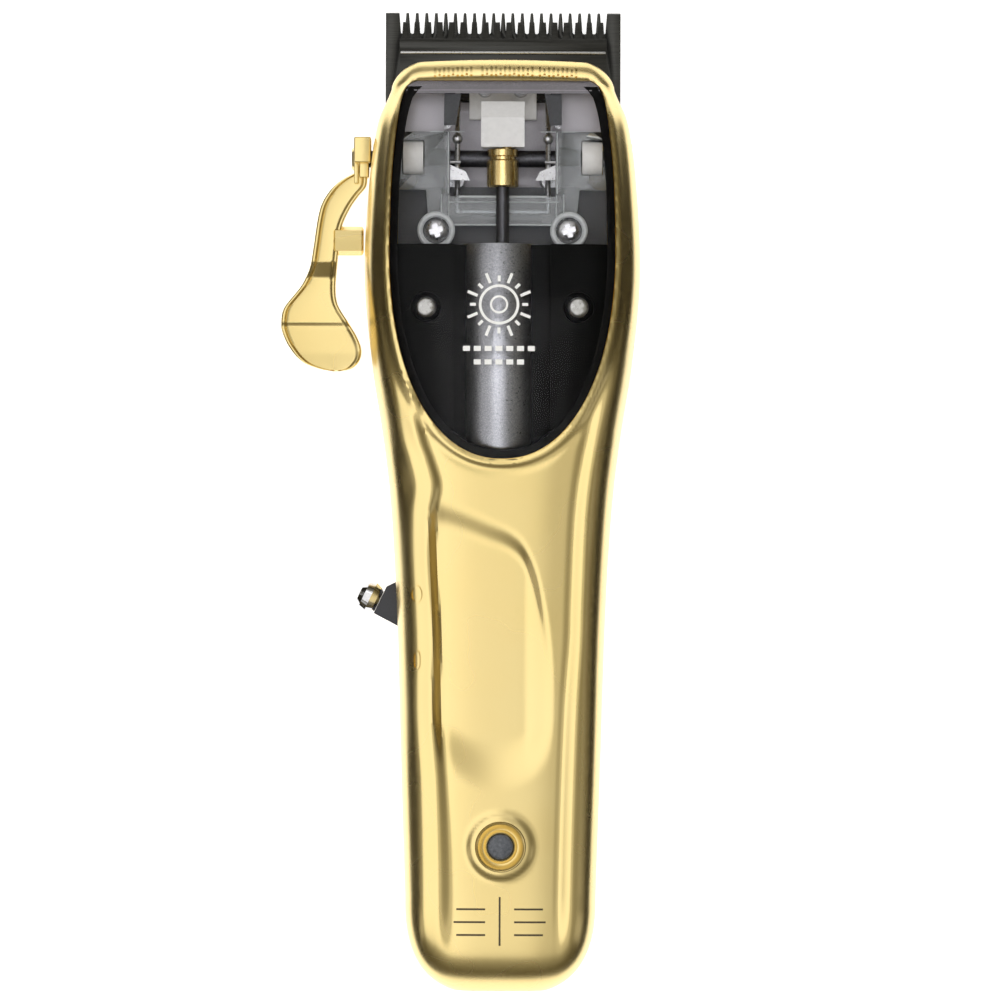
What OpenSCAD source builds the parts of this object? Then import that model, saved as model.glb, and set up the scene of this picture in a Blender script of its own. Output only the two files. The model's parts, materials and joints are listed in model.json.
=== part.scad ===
// Cordless hair clipper, lying on its back. X runs across the body, Y along it towards the blade and Z up
// through the front face. The origin is on the flat of the back, on the middle plane.

/* [Body] */
// Y of the tail end of the housing
tail_y = -90; // [-91:0.5:-89]
// Y of the front edge of the housing, above the blade
nose_y = 86; // [85.5:0.5:86.5]
// Wall thickness of the two metal housings
wall = 2.6; // [2.5:0.05:2.7]
// Squareness of the cross-section below the body's widest line (2 is an ellipse)
body_power = 2.7; // [2.6:0.05:2.8]
// Squareness of the cross-section above the body's widest line
front_power = 4.6; // [4.4:0.1:4.8]
// Depth of the thumb scoop in the front face
scoop_depth = 1.5; // [1:0.1:1.6]

/* [Window] */
// Half width of the window at its widest
window_w = 21.2; // [20.8:0.1:21.3]
// Y of the straight front edge of the window
window_front_y = 81.8; // [81.4:0.1:82]
// Thickness of the clear lid
lid_t = 1.6; // [1.4:0.1:1.7]
// Gap round the lid
lid_gap = 0.12; // [0.08:0.01:0.2]

/* [Blade set] */
// Width of the fixed blade
blade_w = 45; // [44.8:0.1:45.2]
// Y of the tips of the fixed blade
blade_tip_y = 95.8; // [95.5:0.1:96]
// Number of fine teeth between the two corner teeth
tooth_count = 21; // [19:2:21]
// Number of teeth on the cutter
cutter_teeth = 18; // [16:1:18]
// Travel of the cutter each way
cutter_stroke = 0.8; // [0.5:0.1:0.8]

/* [Drive] */
// Radius of the motor can
motor_r = 11; // [10.8:0.1:11]
// Throw of the eccentric pin
throw = 0.8; // [0.5:0.1:0.8]

/* [Taper lever] */
// Throw of the two cams on the lever's shaft
cam_throw = 1.6; // [1.5:0.05:1.65]
// Thickness of the lever's arm
arm_t = 2.3; // [2:0.1:2.6]

/* [Power toggle] */
// Thickness of the toggle's paddle
paddle_t = 3; // [2.6:0.1:3.2]

/* [Hidden] */
$fn = 48;
play = 0.05;           // running and sliding clearance
split_z = 10.5;        // flat parting plane between the two housings

// Half width of the body along Y
width_keys = [[-90, 17.6], [-72, 18.0], [-47, 18.8], [-20, 19.6], [1, 20.8], [14.5, 22.4], [28, 24.5],
    [45, 26.0], [64, 25.1], [75, 23.5], [83, 21.2]];
// Height of the front face along Y
front_keys = [[-90, 33], [-72, 33.6], [-40, 35], [-10, 37.5], [12, 40], [30, 41], [48, 38], [58, 34.4],
    [67, 29.8], [75, 24.8], [83, 18.4]];
// Height of the widest part of the section along Y
middle_keys = [[-90, 17], [-30, 17], [35, 17], [60, 14.6], [83, 12.4]];
// Height of the back along Y, before the rest flat is cut at zero
back_keys = [[-90, -0.8], [0, -0.8], [45, -0.8], [70, 1.5]];
tail_start_y = -72;    // where the round of the tail begins
tail_power = 2.7;      // squareness of the tail's round
tail_stop = 66;        // degrees of the tail's round before its flat end
nose_r = 3;            // round of the nose, seen from the side
back_end_y = 70;       // front end of the back housing

// Value at y of a smooth curve through the keys [[y, value], ...]
function key_below(keys, y, i = 0) =
    i >= len(keys) - 2 || y < keys[i + 1][0] ? i : key_below(keys, y, i + 1);
function key_slope(keys, i) =
    let (a = keys[max(0, i - 1)], b = keys[min(len(keys) - 1, i + 1)]) (b[1] - a[1]) / (b[0] - a[0]);
function along(keys, y) =
    let (i = key_below(keys, y), a = keys[i], b = keys[i + 1], h = b[0] - a[0], t = (y - a[0]) / h)
    (2 * t ^ 3 - 3 * t ^ 2 + 1) * a[1] + (t ^ 3 - 2 * t ^ 2 + t) * h * key_slope(keys, i)
    + (3 * t ^ 2 - 2 * t ^ 3) * b[1] + (t ^ 3 - t ^ 2) * h * key_slope(keys, i + 1);
function smooth(t) = let (u = min(1, max(0, t))) u * u * (3 - 2 * u);
function power(v, p) = v < 0 ? -pow(-v, p) : pow(v, p);
function span(a, b, n) = [for (i = [0:n]) a + (b - a) * i / n];
function reversed(v) = [for (i = [len(v) - 1:-1:0]) v[i]];

// How far the thumb scoop lowers the front face: a long pocket, steep on its left, running out at its tail
function scoop(x, y) = let (
    left = smooth((x + 14.2) / 2.6), right = smooth((9.8 - 4.5 * smooth((y - 2) / 14) - x) / 5.5),
    front = smooth((13 - 0.55 * (x + 14) - y) / 5), tail = smooth((y + 53) / 9))
    left * right * front * tail;

// A station is [y, half width, front height, middle height, back height], shrunk inwards by inset
function station(y, inset) = [y, along(width_keys, y) - inset, along(front_keys, y) - inset,
    along(middle_keys, y), along(back_keys, y) + inset];
function tail_station(angle, inset) = let (
    s = station(tail_start_y, inset), p = 2 / tail_power, e = pow(cos(angle), p),
    reach = (tail_start_y - tail_y - inset) / pow(sin(tail_stop), p))
    [tail_start_y - reach * pow(sin(angle), p), s[1] * e, s[3] + (s[2] - s[3]) * e, s[3],
        s[3] - (s[3] - s[4]) * e];
function nose_station(angle, inset) = let (s = station(nose_y - nose_r, inset), c = 1 - cos(angle))
    [nose_y - nose_r + (nose_r - inset) * sin(angle), s[1] - 2.7 * c, s[2] - 2.4 * sin(angle) - c, s[3], s[4]];

// Point of a station's section at an angle round it
function section_point(s, angle, cut) = let (
    p = 2 / (sin(angle) < 0 ? body_power : front_power), x = s[1] * power(cos(angle), p),
    z = s[3] + (sin(angle) < 0 ? s[3] - s[4] : s[2] - s[3]) * power(sin(angle), p))
    [x, s[0], z - (sin(angle) > 0 ? cut * scoop(x, s[0]) : 0)];
function split_angle(s, z) = asin(pow(min(1, (s[3] - z) / (s[3] - s[4])), body_power / 2));
function front_ring(s, z, cut, n) = let (a = split_angle(s, z))
    [for (t = span(-a, 180 + a, n)) section_point(s, t, cut)];
function back_ring(s, z, floor_z, n) = let (a = split_angle(s, z))
    [for (t = span(180 + a, 360 - a, n)) let (q = section_point(s, t, 0)) [q[0], q[1], max(q[2], floor_z)]];

// A solid through rings of points, each counter-clockwise seen from -Y, in order of rising y
module loft(rings) {
    m = len(rings[0]);
    n = len(rings);
    sides = [for (i = [0:n - 2], j = [0:m - 1]) let (k = (j + 1) % m, a = i * m, b = a + m)
        each [[a + j, a + k, b + k], [a + j, b + k, b + j]]];
    polyhedron(points = [for (r = rings) each r], faces = concat([[for (j = [m - 1:-1:0]) j]], sides,
        [[for (j = [0:m - 1]) (n - 1) * m + j]]));
}
function body_stations(inset, rows, tail_rows, last_y) = concat(
    [for (a = reversed(span(0, tail_stop, tail_rows))) tail_station(a, inset)],
    [for (y = span(tail_start_y, last_y, rows)) if (y > tail_start_y) station(y, inset)]);
module front_solid(inset, z, cut, rows, sides) loft([
    for (s = concat(body_stations(inset, rows, 6, nose_y - nose_r),
        [for (a = [35, 65, 90]) nose_station(a, inset)])) front_ring(s, z, cut, sides)]);
module back_solid(inset, z, rows, sides, last_y) loft([
    for (s = body_stations(inset, rows, 6, last_y)) back_ring(s, z, inset, sides)]);
// The front face's shape under the window only
module window_solid(inset, z) loft([for (y = span(8, 82.6, 15)) front_ring(station(y, inset), z, 0, 26)]);

// Outline of the window: a straight front edge, flaring sides and a long round tail
window_round_y = 50;
window_tail_y = 9.9;
window_side = [[20.7, 66], [19.8, 75], [18.6, 80.2], [17, window_front_y]];
function window_outline(inset) = concat(
    [for (t = span(0, 180, 22)) [(window_w - inset) * power(cos(t), 2 / 2.2),
        window_round_y - (window_round_y - window_tail_y - inset) * power(sin(t), 2 / 2.2)]],
    [for (q = window_side) [-q[0] + inset, min(q[1], window_front_y - inset)]],
    [for (q = reversed(window_side)) [q[0] - inset, min(q[1], window_front_y - inset)]]);
module window_prism(inset) translate([0, 0, 12]) linear_extrude(32) polygon(window_outline(inset));

module along_x(x, y, z) translate([x, y, z]) rotate([0, 90, 0]) children();
module along_y(x, y, z) translate([x, y, z]) rotate([-90, 0, 0]) children();
module both_sides() for (side = [-1, 1]) scale([side, 1, 1]) children();
module pan_screw(head_r, head_h, shank_r, shank_l) difference() {
    union() {
        translate([0, 0, -shank_l]) cylinder(r = shank_r, h = shank_l);
        cylinder(r1 = head_r, r2 = head_r * 0.8, h = head_h);
    }
    for (a = [0, 90]) rotate(a)
        translate([-head_r * 0.6, -0.25, head_h - 0.5]) cube([head_r * 1.2, 0.5, 1]);
}

// ---- housing ----
slot_y = [-27.6, -12.2];    // the toggle's slot along the left side
slot_h = 3.8;
toggle_z = 18;
jack_z = 17.5;
jack_r = 2.9;          // inlet's bore, which takes the plug's sleeve
jack_barrel_r = 4.2;
jack_back_y = tail_y + 15;
led_y = -62.4;
lens_r = 2.8;
bezel_r = 4.7;
lid_screw = [14.1, 38.1];
lid_seat_z = 38.45;
lid_post_z = lid_seat_z - 2.6;
housing_screw_at = [[10, 24], [7, -66]];
lever_y = 67.1;
lever_z = 14;
bush_r = 3;

module front_housing() color("goldenrod") difference() {
    front_solid(0, split_z, scoop_depth, 26, 36);
    front_solid(wall, split_z - 1, 0, 14, 22);
    window_prism(1.2);
    difference() {
        window_prism(0);
        window_solid(lid_t + 0.25, 8);
    }
    along_x(-30, lever_y, lever_z) cylinder(r = bush_r + play, h = 60);
    translate([-24, slot_y[0], toggle_z - slot_h / 2]) cube([10, slot_y[1] - slot_y[0], slot_h]);
    along_y(0, tail_y - 1, jack_z) cylinder(r = jack_barrel_r + play, h = 8);
    translate([0, led_y, 25]) cylinder(r = bezel_r + play, h = 12);
}
module back_housing() color("goldenrod") difference() {
    back_solid(0, split_z, 20, 20, back_end_y);
    back_solid(wall, split_z + 1, 12, 16, back_end_y - wall);
    translate([-17.5, back_end_y - 5, 5.8]) cube([35, 10, 8]);
    for (p = housing_screw_at) both_sides() translate([p[0], p[1], -1]) {
        cylinder(r = 1.6, h = 6);
        cylinder(r = 2.7, h = 2.2);
    }
}
module window_lid() color("lightgray", 0.4) difference() {
    union() {
        difference() {
            intersection() {
                window_solid(0.15, split_z);
                window_prism(lid_gap);
            }
            window_solid(0.15 + lid_t, 8);
            translate([-30, 82.5, 0]) cube([60, 5, 50]);
        }
        both_sides() translate([lid_screw[0], lid_screw[1], lid_post_z + play]) cylinder(r = 2.3, h = 2.3);
    }
    both_sides() translate([lid_screw[0], lid_screw[1], 30]) {
        cylinder(r = 1.2, h = 12);
        translate([0, 0, lid_seat_z - 30]) cylinder(r = 2.2, h = 12);
    }
}
module lid_screws() color("silver") both_sides()
    translate([lid_screw[0], lid_screw[1], lid_seat_z + play]) pan_screw(1.9, 0.9, 1.1, 12);
module housing_screws() color("silver") for (p = housing_screw_at) both_sides()
    translate([p[0], p[1], 1.15]) mirror([0, 0, 1]) pan_screw(2.3, 1, 1.2, 9);

// ---- inner frame ----
tray_z = 5.6;
tray_t = 1.6;
motor_z = 19.5;
battery_r = 9.2;
battery_z = 17;
battery_y = [-62, 3];
board_z = 26.8;
board_t = 1.2;
board_screw_at = [[7, -66], [7, 6.6]];
mount_screw_at = [9, 63.3];
eyelet_at = [12.6, 53.3];
carriage_z = 15.9;
carriage_t = 1.7;
module chassis() color("dimgray") difference() {
    union() {
        translate([0, 0, tray_z]) linear_extrude(tray_t) polygon([[-12, -70], [12, -70], [14, 0], [17.5, 30],
            [18, 58], [-18, 58], [-17.5, 30], [-14, 0]]);
        both_sides() {
            translate([lid_screw[0], lid_screw[1], tray_z]) cylinder(r = 2.6, h = lid_post_z - tray_z);
            translate([10, 24, 3.5]) cylinder(r = 2.4, h = 7.5);
            translate([7, -66, 3.5]) cylinder(r = 2.4, h = board_z - 3.5 - play);
            translate([7, 6.6, tray_z]) cylinder(r = 2, h = board_z - tray_z - play);
            translate([eyelet_at[0], eyelet_at[1], tray_z]) cylinder(r = 2.4, h = carriage_z - tray_z - play);
            translate([6, 56, 4.8]) cube([5.6, 10.5, 1.2]);
        }
        for (y = [18, 34]) translate([-9, y, tray_z]) cube([18, 3, 8]);
        for (y = [-56, -10]) translate([-9, y, tray_z]) cube([18, 3, 6]);
        translate([-13, -24, tray_z]) cube([3.1, 6, 12.95 - tray_z]);
        translate([-10.5, can_y[1] + play, tray_z]) cube([21, 1.8, 28.5 - tray_z]);
    }
    along_y(0, 9, motor_z) cylinder(r = motor_r + play, h = can_y[1] + 0.02 - 9);
    along_y(0, 40, motor_z) cylinder(r = 5.25, h = 9);
    along_y(0, -62.4, battery_z) cylinder(r = battery_r + play, h = 66.8);
    for (a = [45:90:359]) along_y(0, 40, motor_z) rotate(a) translate([8, 0, 0]) cylinder(r = 1.05, h = 9);
    both_sides() {
        translate([lid_screw[0], lid_screw[1], 20]) cylinder(r = 1.12, h = 20);
        for (p = housing_screw_at) translate([p[0], p[1], 3]) cylinder(r = 1.22, h = 7.5);
        for (p = board_screw_at) translate([p[0], p[1], 18]) cylinder(r = 1.02, h = 12);
        translate([eyelet_at[0], eyelet_at[1], 7.3]) cylinder(r = 1.02, h = 12);
        translate([mount_screw_at[0], mount_screw_at[1], 4]) cylinder(r = 1.22, h = 4);
    }
}
// The black cover over the motor: a liner under the tail half of the lid, with a web at its front
module motor_cover() color("black") difference() {
    union() {
        intersection() {
            difference() {
                window_solid(lid_t + 0.5, split_z);
                window_solid(lid_t + 1.6, 8);
            }
            window_prism(1.5);
            translate([-30, 0, 0]) cube([60, 50, 50]);
        }
        intersection() {
            window_solid(lid_t + 1.2, split_z);
            window_prism(1.5);
            translate([-30, 48.8, 28]) cube([60, 1.2, 20]);
        }
    }
    both_sides() translate([lid_screw[0], lid_screw[1], 25]) cylinder(r = 2.8, h = 20);
}

// ---- motor, along Y ----
can_y = [13, 45];
shaft_r = 1.25;
core_y = [20, 38];
module motor_can() color("dimgray") along_y(0, can_y[0], motor_z) difference() {
    union() {
        cylinder(r = motor_r, h = can_y[1] - can_y[0]);
        cylinder(r = 5.2, h = can_y[1] - can_y[0] + 3);
    }
    translate([0, 0, -1]) cylinder(r = motor_r - 0.9, h = can_y[1] - can_y[0] + 0.1);
    translate([0, 0, 25]) cylinder(r = 4.01, h = 9);
    cylinder(r = 2.2, h = 60);
    for (a = [45:90:359]) rotate(a) translate([8, 0, 20]) cylinder(r = 1.02, h = 20);
}
module motor_end_bell() color("black") along_y(0, can_y[0] - 2, motor_z) difference() {
    union() {
        cylinder(r = motor_r, h = 2);
        translate([0, 0, 2]) cylinder(r = motor_r - 0.95, h = 2);
        cylinder(r = 4.9, h = 5);
    }
    translate([0, 0, 1.4]) cylinder(r = 4.01, h = 9);
    translate([0, 0, -1]) cylinder(r = 2.2, h = 9);
}
module stator_core() color("silver") along_y(0, core_y[0], motor_z) difference() {
    cylinder(r = motor_r - 0.95, h = core_y[1] - core_y[0]);
    translate([0, 0, -1]) cylinder(r = 4.8, h = 40);
    for (a = [0:60:359]) rotate(a) translate([7.1, 0, -1]) cylinder(r = 1.5, h = 40);
}
module stator_windings() color("chocolate") along_y(0, core_y[0], motor_z)
    for (a = [0:60:359]) rotate(a) translate([7.1, 0, -2]) cylinder(r = 1.44, h = core_y[1] - core_y[0] + 4);
module ring_bearing(y) along_y(0, y, motor_z) difference() {
    cylinder(r = 4, h = 3);
    translate([0, 0, -1]) cylinder(r = shaft_r + 0.02, h = 6);
}
module front_bearing() color("silver") ring_bearing(43.9);
module rear_bearing() color("silver") ring_bearing(12.5);
module motor_screws() color("silver") along_y(0, can_y[1] + 2 * play + 1.8, motor_z) for (a = [45:90:359])
    rotate(a) translate([8, 0, 0]) pan_screw(1.8, 1, 1, 5);
module motor_shaft() color("silver") along_y(0, 12, motor_z) cylinder(r = shaft_r, h = hub_y[1] - 1.4 - 12);
module rotor_magnet() color("dimgray") along_y(0, core_y[0] - 1, motor_z) difference() {
    cylinder(r = 4.4, h = core_y[1] - core_y[0] + 2);
    translate([0, 0, -1]) cylinder(r = shaft_r + 0.005, h = 40);
}
// Brass hub on the shaft, with the drive pin standing off its axis
hub_y = [61.4, 68.6];
pin_r = 0.9;
module eccentric() color("goldenrod") difference() {
    union() {
        along_y(0, hub_y[0], motor_z) cylinder(r = 3, h = hub_y[1] - hub_y[0]);
        along_y(throw, hub_y[1] - 1, motor_z) cylinder(r = pin_r, h = 6.2);
    }
    along_y(0, hub_y[0] - 1, motor_z) cylinder(r = shaft_r + 0.005, h = hub_y[1] - hub_y[0] - 0.3);
}

// ---- battery and electronics ----
module battery_cell() color("steelblue") along_y(0, battery_y[0], battery_z) {
    cylinder(r = battery_r, h = battery_y[1] - battery_y[0]);
    translate([0, 0, battery_y[1] - battery_y[0]]) cylinder(r = 3, h = 1);
}
module battery_tabs() color("silver") for (y = [battery_y[1] + 1 + play, battery_y[0] - play - 0.3])
    translate([-3, y, battery_z - 3]) cube([6, 0.3, board_z - battery_z + 3 - play]);
module circuit_board() color("darkgreen") difference() {
    translate([-10, -69, board_z]) cube([20, 78, board_t]);
    for (p = board_screw_at) both_sides() translate([p[0], p[1], board_z - 1]) cylinder(r = 1.1, h = 5);
}
// Controller, drive transistors, coil, capacitors and a plug, on the board's upper face
module board_parts() color("black") translate([0, 0, board_z + board_t + play]) {
    translate([-3.5, -35, 0]) cube([7, 7, 1]);
    for (i = [0:4]) translate([-8.2 + 3.4 * i, -18, 0]) cube([2.6, 3.4, 0.9]);
    translate([-7.5, -50, 0]) cube([5, 5, 1.1]);
    translate([3, -50, 0]) cube([4, 3, 1]);
    for (x = [-8, 6]) translate([x, -8, 0]) cube([2, 3, 1.1]);
    translate([-4, -1.4, 0]) cube([8, 4, 1.2]);
}
module board_screws() color("silver") for (p = board_screw_at) both_sides()
    translate([p[0], p[1], board_z + board_t + play]) pan_screw(1.9, 1, 1, 6);
module motor_ribbon() color("white") translate([-3.5, 0, 0]) rotate([90, 0, 90]) linear_extrude(7)
    polygon([[2.7, 28.05], [8.9, 28.05], [10.3, 26.6], [10.3, 23.5], [10.7, 23.5], [10.7, 26.8], [9.1, 28.45],
        [2.7, 28.45]]);
// Barrel inlet: a mouth for the plug's sleeve, then a body that holds the contact pin
module charge_jack() color("black") difference() {
    union() {
        along_y(0, tail_y + 0.1, jack_z) cylinder(r = jack_barrel_r, h = 8);
        translate([-4.5, jack_back_y - 9, jack_z - 5]) cube([9, 9, 10]);
    }
    along_y(0, tail_y - 1, jack_z) cylinder(r = jack_r, h = 12);
}
// Terminal on the back of the inlet
module jack_pin() color("gold") along_y(0, jack_back_y, jack_z) cylinder(r = 0.65, h = 3.2);
module indicator_bezel() color("goldenrod") translate([0, led_y, 29.6]) rotate_extrude() polygon([
    [lens_r + play, 0], [bezel_r, 0], [bezel_r, 4.2], [bezel_r - 0.5, 4.7], [bezel_r - 1.1, 4.7],
    [lens_r + 0.4, 3.4], [lens_r + play, 3.4]]);
module indicator_lens() color("slategray", 0.6) translate([0, led_y, 29]) intersection() {
    cylinder(r = lens_r, h = 6);
    translate([0, 0, -3.5]) sphere(r = 8);
}
module indicator_led() color("white") translate([-1.5, led_y - 1.5, board_z + board_t + play])
    cube([3, 3, 0.85]);

// ---- power toggle: pivots about an upright pin behind the left wall ----
toggle_x = -13.9;
toggle_y = -21.4;
toggle_turn = 154.3;
module at_toggle() translate([toggle_x, toggle_y, toggle_z]) rotate(toggle_turn) children();
module toggle_paddle() color("#2b2c36") at_toggle() translate([0, 0, -paddle_t / 2]) difference() {
    linear_extrude(paddle_t) polygon([[-1.9, -1.4], [0, -2.2], [3, -3.4], [8.6, -5.2], [10.2, -3.2],
        [10.2, 2.4], [4.7, 2.6], [0, 2.2], [-1.9, 1.4]]);
    translate([0, 0, -1]) cylinder(r = 1 + play, h = 6);
}
module toggle_knob() color("silver") at_toggle() translate([10.25, 0, 0]) rotate([0, 90, 0])
    rotate_extrude() polygon([[0, 0], [2, 0], [2.6, 0.6], [3.1, 1.8], [2.7, 3.1], [1.8, 4], [0, 4.4]]);
module toggle_pin() color("silver") translate([toggle_x, toggle_y, toggle_z - 4.6]) cylinder(r = 1, h = 9.2);
module switch_body() color("black") difference() {
    translate([-15.7, -29, toggle_z - 5]) cube([6.2, 15.5, 10]);
    translate([toggle_x - 9, -31, toggle_z - slot_h / 2]) cube([11.6, 20, slot_h]);
    translate([toggle_x, toggle_y, 0]) cylinder(r = 1.005, h = 40);
}

// ---- blade set ----
bed_z = 6;             // top of the fixed blade, which the cutter slides on
blade_heel_y = 70.6;
pitch = (blade_w - 4.7) / (tooth_count + 1);
blade_screw_at = [11, 74.6];
module tooth_gap(x, root_y, tip_y, root_w, tip_w) translate([x, 0, 0]) linear_extrude(20) {
    translate([0, root_y + root_w / 2]) circle(d = root_w);
    polygon([[-root_w / 2, root_y + root_w / 2], [root_w / 2, root_y + root_w / 2], [tip_w / 2, tip_y],
        [-tip_w / 2, tip_y]]);
}
module fixed_blade() color("#262628") difference() {
    translate([-blade_w / 2, 0, 0]) rotate([90, 0, 90]) linear_extrude(blade_w) polygon([
        [blade_heel_y, 2.5], [84, 2.5], [blade_tip_y - 0.3, 4.9], [blade_tip_y, 5.3],
        [blade_tip_y - 0.3, bed_z], [blade_heel_y, bed_z]]);
    for (i = [0:tooth_count]) tooth_gap((i - tooth_count / 2) * pitch, 91.7, 97, 0.8, 1.5);
    both_sides() translate([blade_screw_at[0], blade_screw_at[1], 0]) {
        cylinder(r = 1.75, h = 10);
        translate([0, 0, 1]) cylinder(r = 3.3, h = 2.9);
    }
    translate([0, 75, 0]) cylinder(r = 1.4, h = 10);
}
module blade_screws() color("silver") both_sides() translate([blade_screw_at[0], blade_screw_at[1], 3.85])
    mirror([0, 0, 1]) pan_screw(2.8, 1.3, 1.48, 5);
cutter_w = 39.6;
cutter_heel_y = 78.6;
module cutter_blade() color("#1c1c1e") difference() {
    translate([-cutter_w / 2, 0, 0]) rotate([90, 0, 90]) linear_extrude(cutter_w) polygon([
        [cutter_heel_y, bed_z + play], [93.9, bed_z + play], [93.9, bed_z + 0.5], [89.4, 8.5], [88.5, 8.5],
        [87.4, 9.4], [cutter_heel_y, 9.4]]);
    for (i = [0:cutter_teeth]) tooth_gap((i - cutter_teeth / 2) * cutter_w / cutter_teeth, 90.6, 96, 0.9, 1.5);
    both_sides() translate([3.4, 80.4, 7]) cylinder(r = 0.81, h = 5);
}
// Zinc plate that the fixed blade is screwed to
module blade_mount() color("darkgray") difference() {
    translate([-16.4, 60.6, bed_z + play]) cube([32.8, 17.6, 2.6]);
    both_sides() {
        translate([blade_screw_at[0], blade_screw_at[1], 5]) cylinder(r = 1.49, h = 5);
        translate([mount_screw_at[0], mount_screw_at[1], 2]) cylinder(r = 1.3, h = 8);
    }
}
module mount_screws() color("silver") both_sides()
    translate([mount_screw_at[0], mount_screw_at[1], bed_z + 2.6 + 2 * play]) pan_screw(2, 1, 1.2, 3.8);

// ---- drive yoke and sliding carriage ----
yoke_slot = pin_r + throw + cutter_stroke + 0.1;
module drive_yoke() color("white") difference() {
    union() {
        translate([-yoke_slot - 1.2, 68.9, 16.4]) cube([2 * yoke_slot + 2.4, 6.7, 4.6]);
        translate([-yoke_slot - 1.2, 71.2, 9.45]) cube([2 * yoke_slot + 2.4, 5.4, 7.4]);
        translate([-6.4, 74.8, 9.45]) cube([12.8, 7.2, 1.8]);
    }
    translate([-yoke_slot, 60, 17.4]) cube([2 * yoke_slot, 14.4, 6]);
    both_sides() translate([3.4, 80.4, 7]) cylinder(r = 0.81, h = 8);
}
module yoke_screws() color("silver") both_sides() translate([3.4, 80.4, 11.3]) pan_screw(1.5, 0.8, 0.8, 3.6);
roller_x = 17;
cam_r = 3.2;
module carriage() color("lightslategray", 0.6) difference() {
    union() {
        translate([0, 0, carriage_z]) linear_extrude(carriage_t) {
            translate([-10.6, 54.2]) square([21.2, 5.6]);
            both_sides() {
                translate(eyelet_at) circle(r = 3.2);
                polygon([[10, 54.2], [14, 54.2], [14.6, 61], [20, 61], [20, 70], [17, 72], [10, 72]]);
            }
        }
        for (y = [54.2, 58.6]) translate([-7.4, y, carriage_z - 1.7]) cube([14.8, 1.2, 2.5]);
        both_sides() translate([10, 60, carriage_z]) cube([1.2, 12, 3.2]);
    }
    both_sides() {
        translate([roller_x - 2.1, lever_y - cam_r - play, 10]) cube([4.2, 2 * (cam_r + play), 10]);
        translate([eyelet_at[0] - 1.3, eyelet_at[1] - 1.2, 10]) cube([2.6, 1.4, 10]);
        for (y = [-1.2, 0.2]) translate([eyelet_at[0], eyelet_at[1] + y, 10]) cylinder(r = 1.3, h = 20);
    }
}
module carriage_screws() color("silver") both_sides()
    translate([eyelet_at[0], eyelet_at[1], carriage_z + carriage_t + play]) pan_screw(2.3, 1, 1, 8);
// Wire spring that hangs under the carriage and holds the cutter down on the fixed blade
module wire(a, b, r) {
    d = b - a;
    translate(a) rotate([0, acos(d[2] / norm(d)), atan2(d[1], d[0])]) translate([0, 0, -0.3 * r])
        cylinder(r = r, h = norm(d) + 0.6 * r, $fn = 16);
}
module tension_spring() color("silver") {
    wire([-8.6, 57, 15.3], [8.6, 57, 15.3], 0.5);
    both_sides() {
        wire([8.6, 56.9, 15.3], [8.6, 60.4, 15.3], 0.5);
        wire([8.6, 60.4, 15.3], [8.6, 64.4, 17], 0.5);
        wire([8.6, 64.4, 17], [8.6, 70, 17], 0.5);
        wire([8.6, 70, 17], [8.6, 80.9, 9.95], 0.5);
        wire([8.5, 80.9, 9.95], [13.5, 80.9, 9.95], 0.5);
    }
}

// ---- taper lever ----
lever_shaft_r = 1.6;
hub_x = [-27.9, -25.5];
// Outer edge, inner edge and height of the lever's arm and thumb pad along Y
arm_outer_keys = [[25.9, -32.5], [28.2, -37.6], [32.7, -41.2], [36.2, -41.9], [39.6, -40.7], [43, -37.6],
    [48, -36.3], [55.5, -35.5], [60.1, -34.2], [62.6, -31.4], [64.4, -28.6]];
arm_inner_keys = [[25.9, -30.4], [28.2, -27.3], [32.7, -27.1], [36.2, -29.3], [41.9, -31.4], [48, -31.1],
    [53.3, -30], [57.8, -28.1], [60.5, -26.6], [64.4, -25.8]];
arm_height_keys = [[25.9, 16.8], [30, 19.2], [35.4, 20.6], [41, 18.2], [46.4, 16.8], [53, 16.4], [64.4, 14.4]];
function arm_ring(y) = let (
    a = along(arm_outer_keys, y), b = along(arm_inner_keys, y), z = along(arm_height_keys, y),
    w = (b - a) / 2, m = (a + b) / 2)
    [for (t = span(0, 337.5, 15)) [m + w * power(cos(t), 0.45), y, z + arm_t / 2 * power(sin(t), 0.6)]];
module lever_arm() color("goldenrod") difference() {
    union() {
        loft([for (y = span(25.9, 64.4, 26)) arm_ring(y)]);
        along_x(hub_x[0], lever_y, lever_z) cylinder(r = 4, h = hub_x[1] - hub_x[0]);
    }
    along_x(-40, lever_y, lever_z) cylinder(r = lever_shaft_r + 0.005, h = 20);
    along_x(detent_x[0], detent_y, detent_z) cylinder(r = detent_r + 0.01, h = 10);
}
module lever_screw() color("goldenrod") along_x(hub_x[0] - play, lever_y, lever_z) mirror([0, 0, 1])
    pan_screw(2.5, 0.7, 0.8, 0.04);
module lever_shaft() color("silver") along_x(hub_x[0], lever_y, lever_z) cylinder(r = lever_shaft_r, h = 24 - hub_x[0]);
module shaft_bushes() color("gold") both_sides() along_x(20.4, lever_y, lever_z) difference() {
    union() {
        cylinder(r = bush_r, h = 4.2);
        cylinder(r = bush_r + 0.4, h = 0.8);
    }
    translate([0, 0, -1]) cylinder(r = lever_shaft_r + play, h = 8);
}
module shaft_cams() color("white") both_sides() difference() {
    along_x(roller_x - 1.9, lever_y, lever_z + cam_throw) cylinder(r = cam_r, h = 3.8);
    along_x(roller_x - 5, lever_y, lever_z) cylinder(r = lever_shaft_r + 0.005, h = 10);
}
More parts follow.
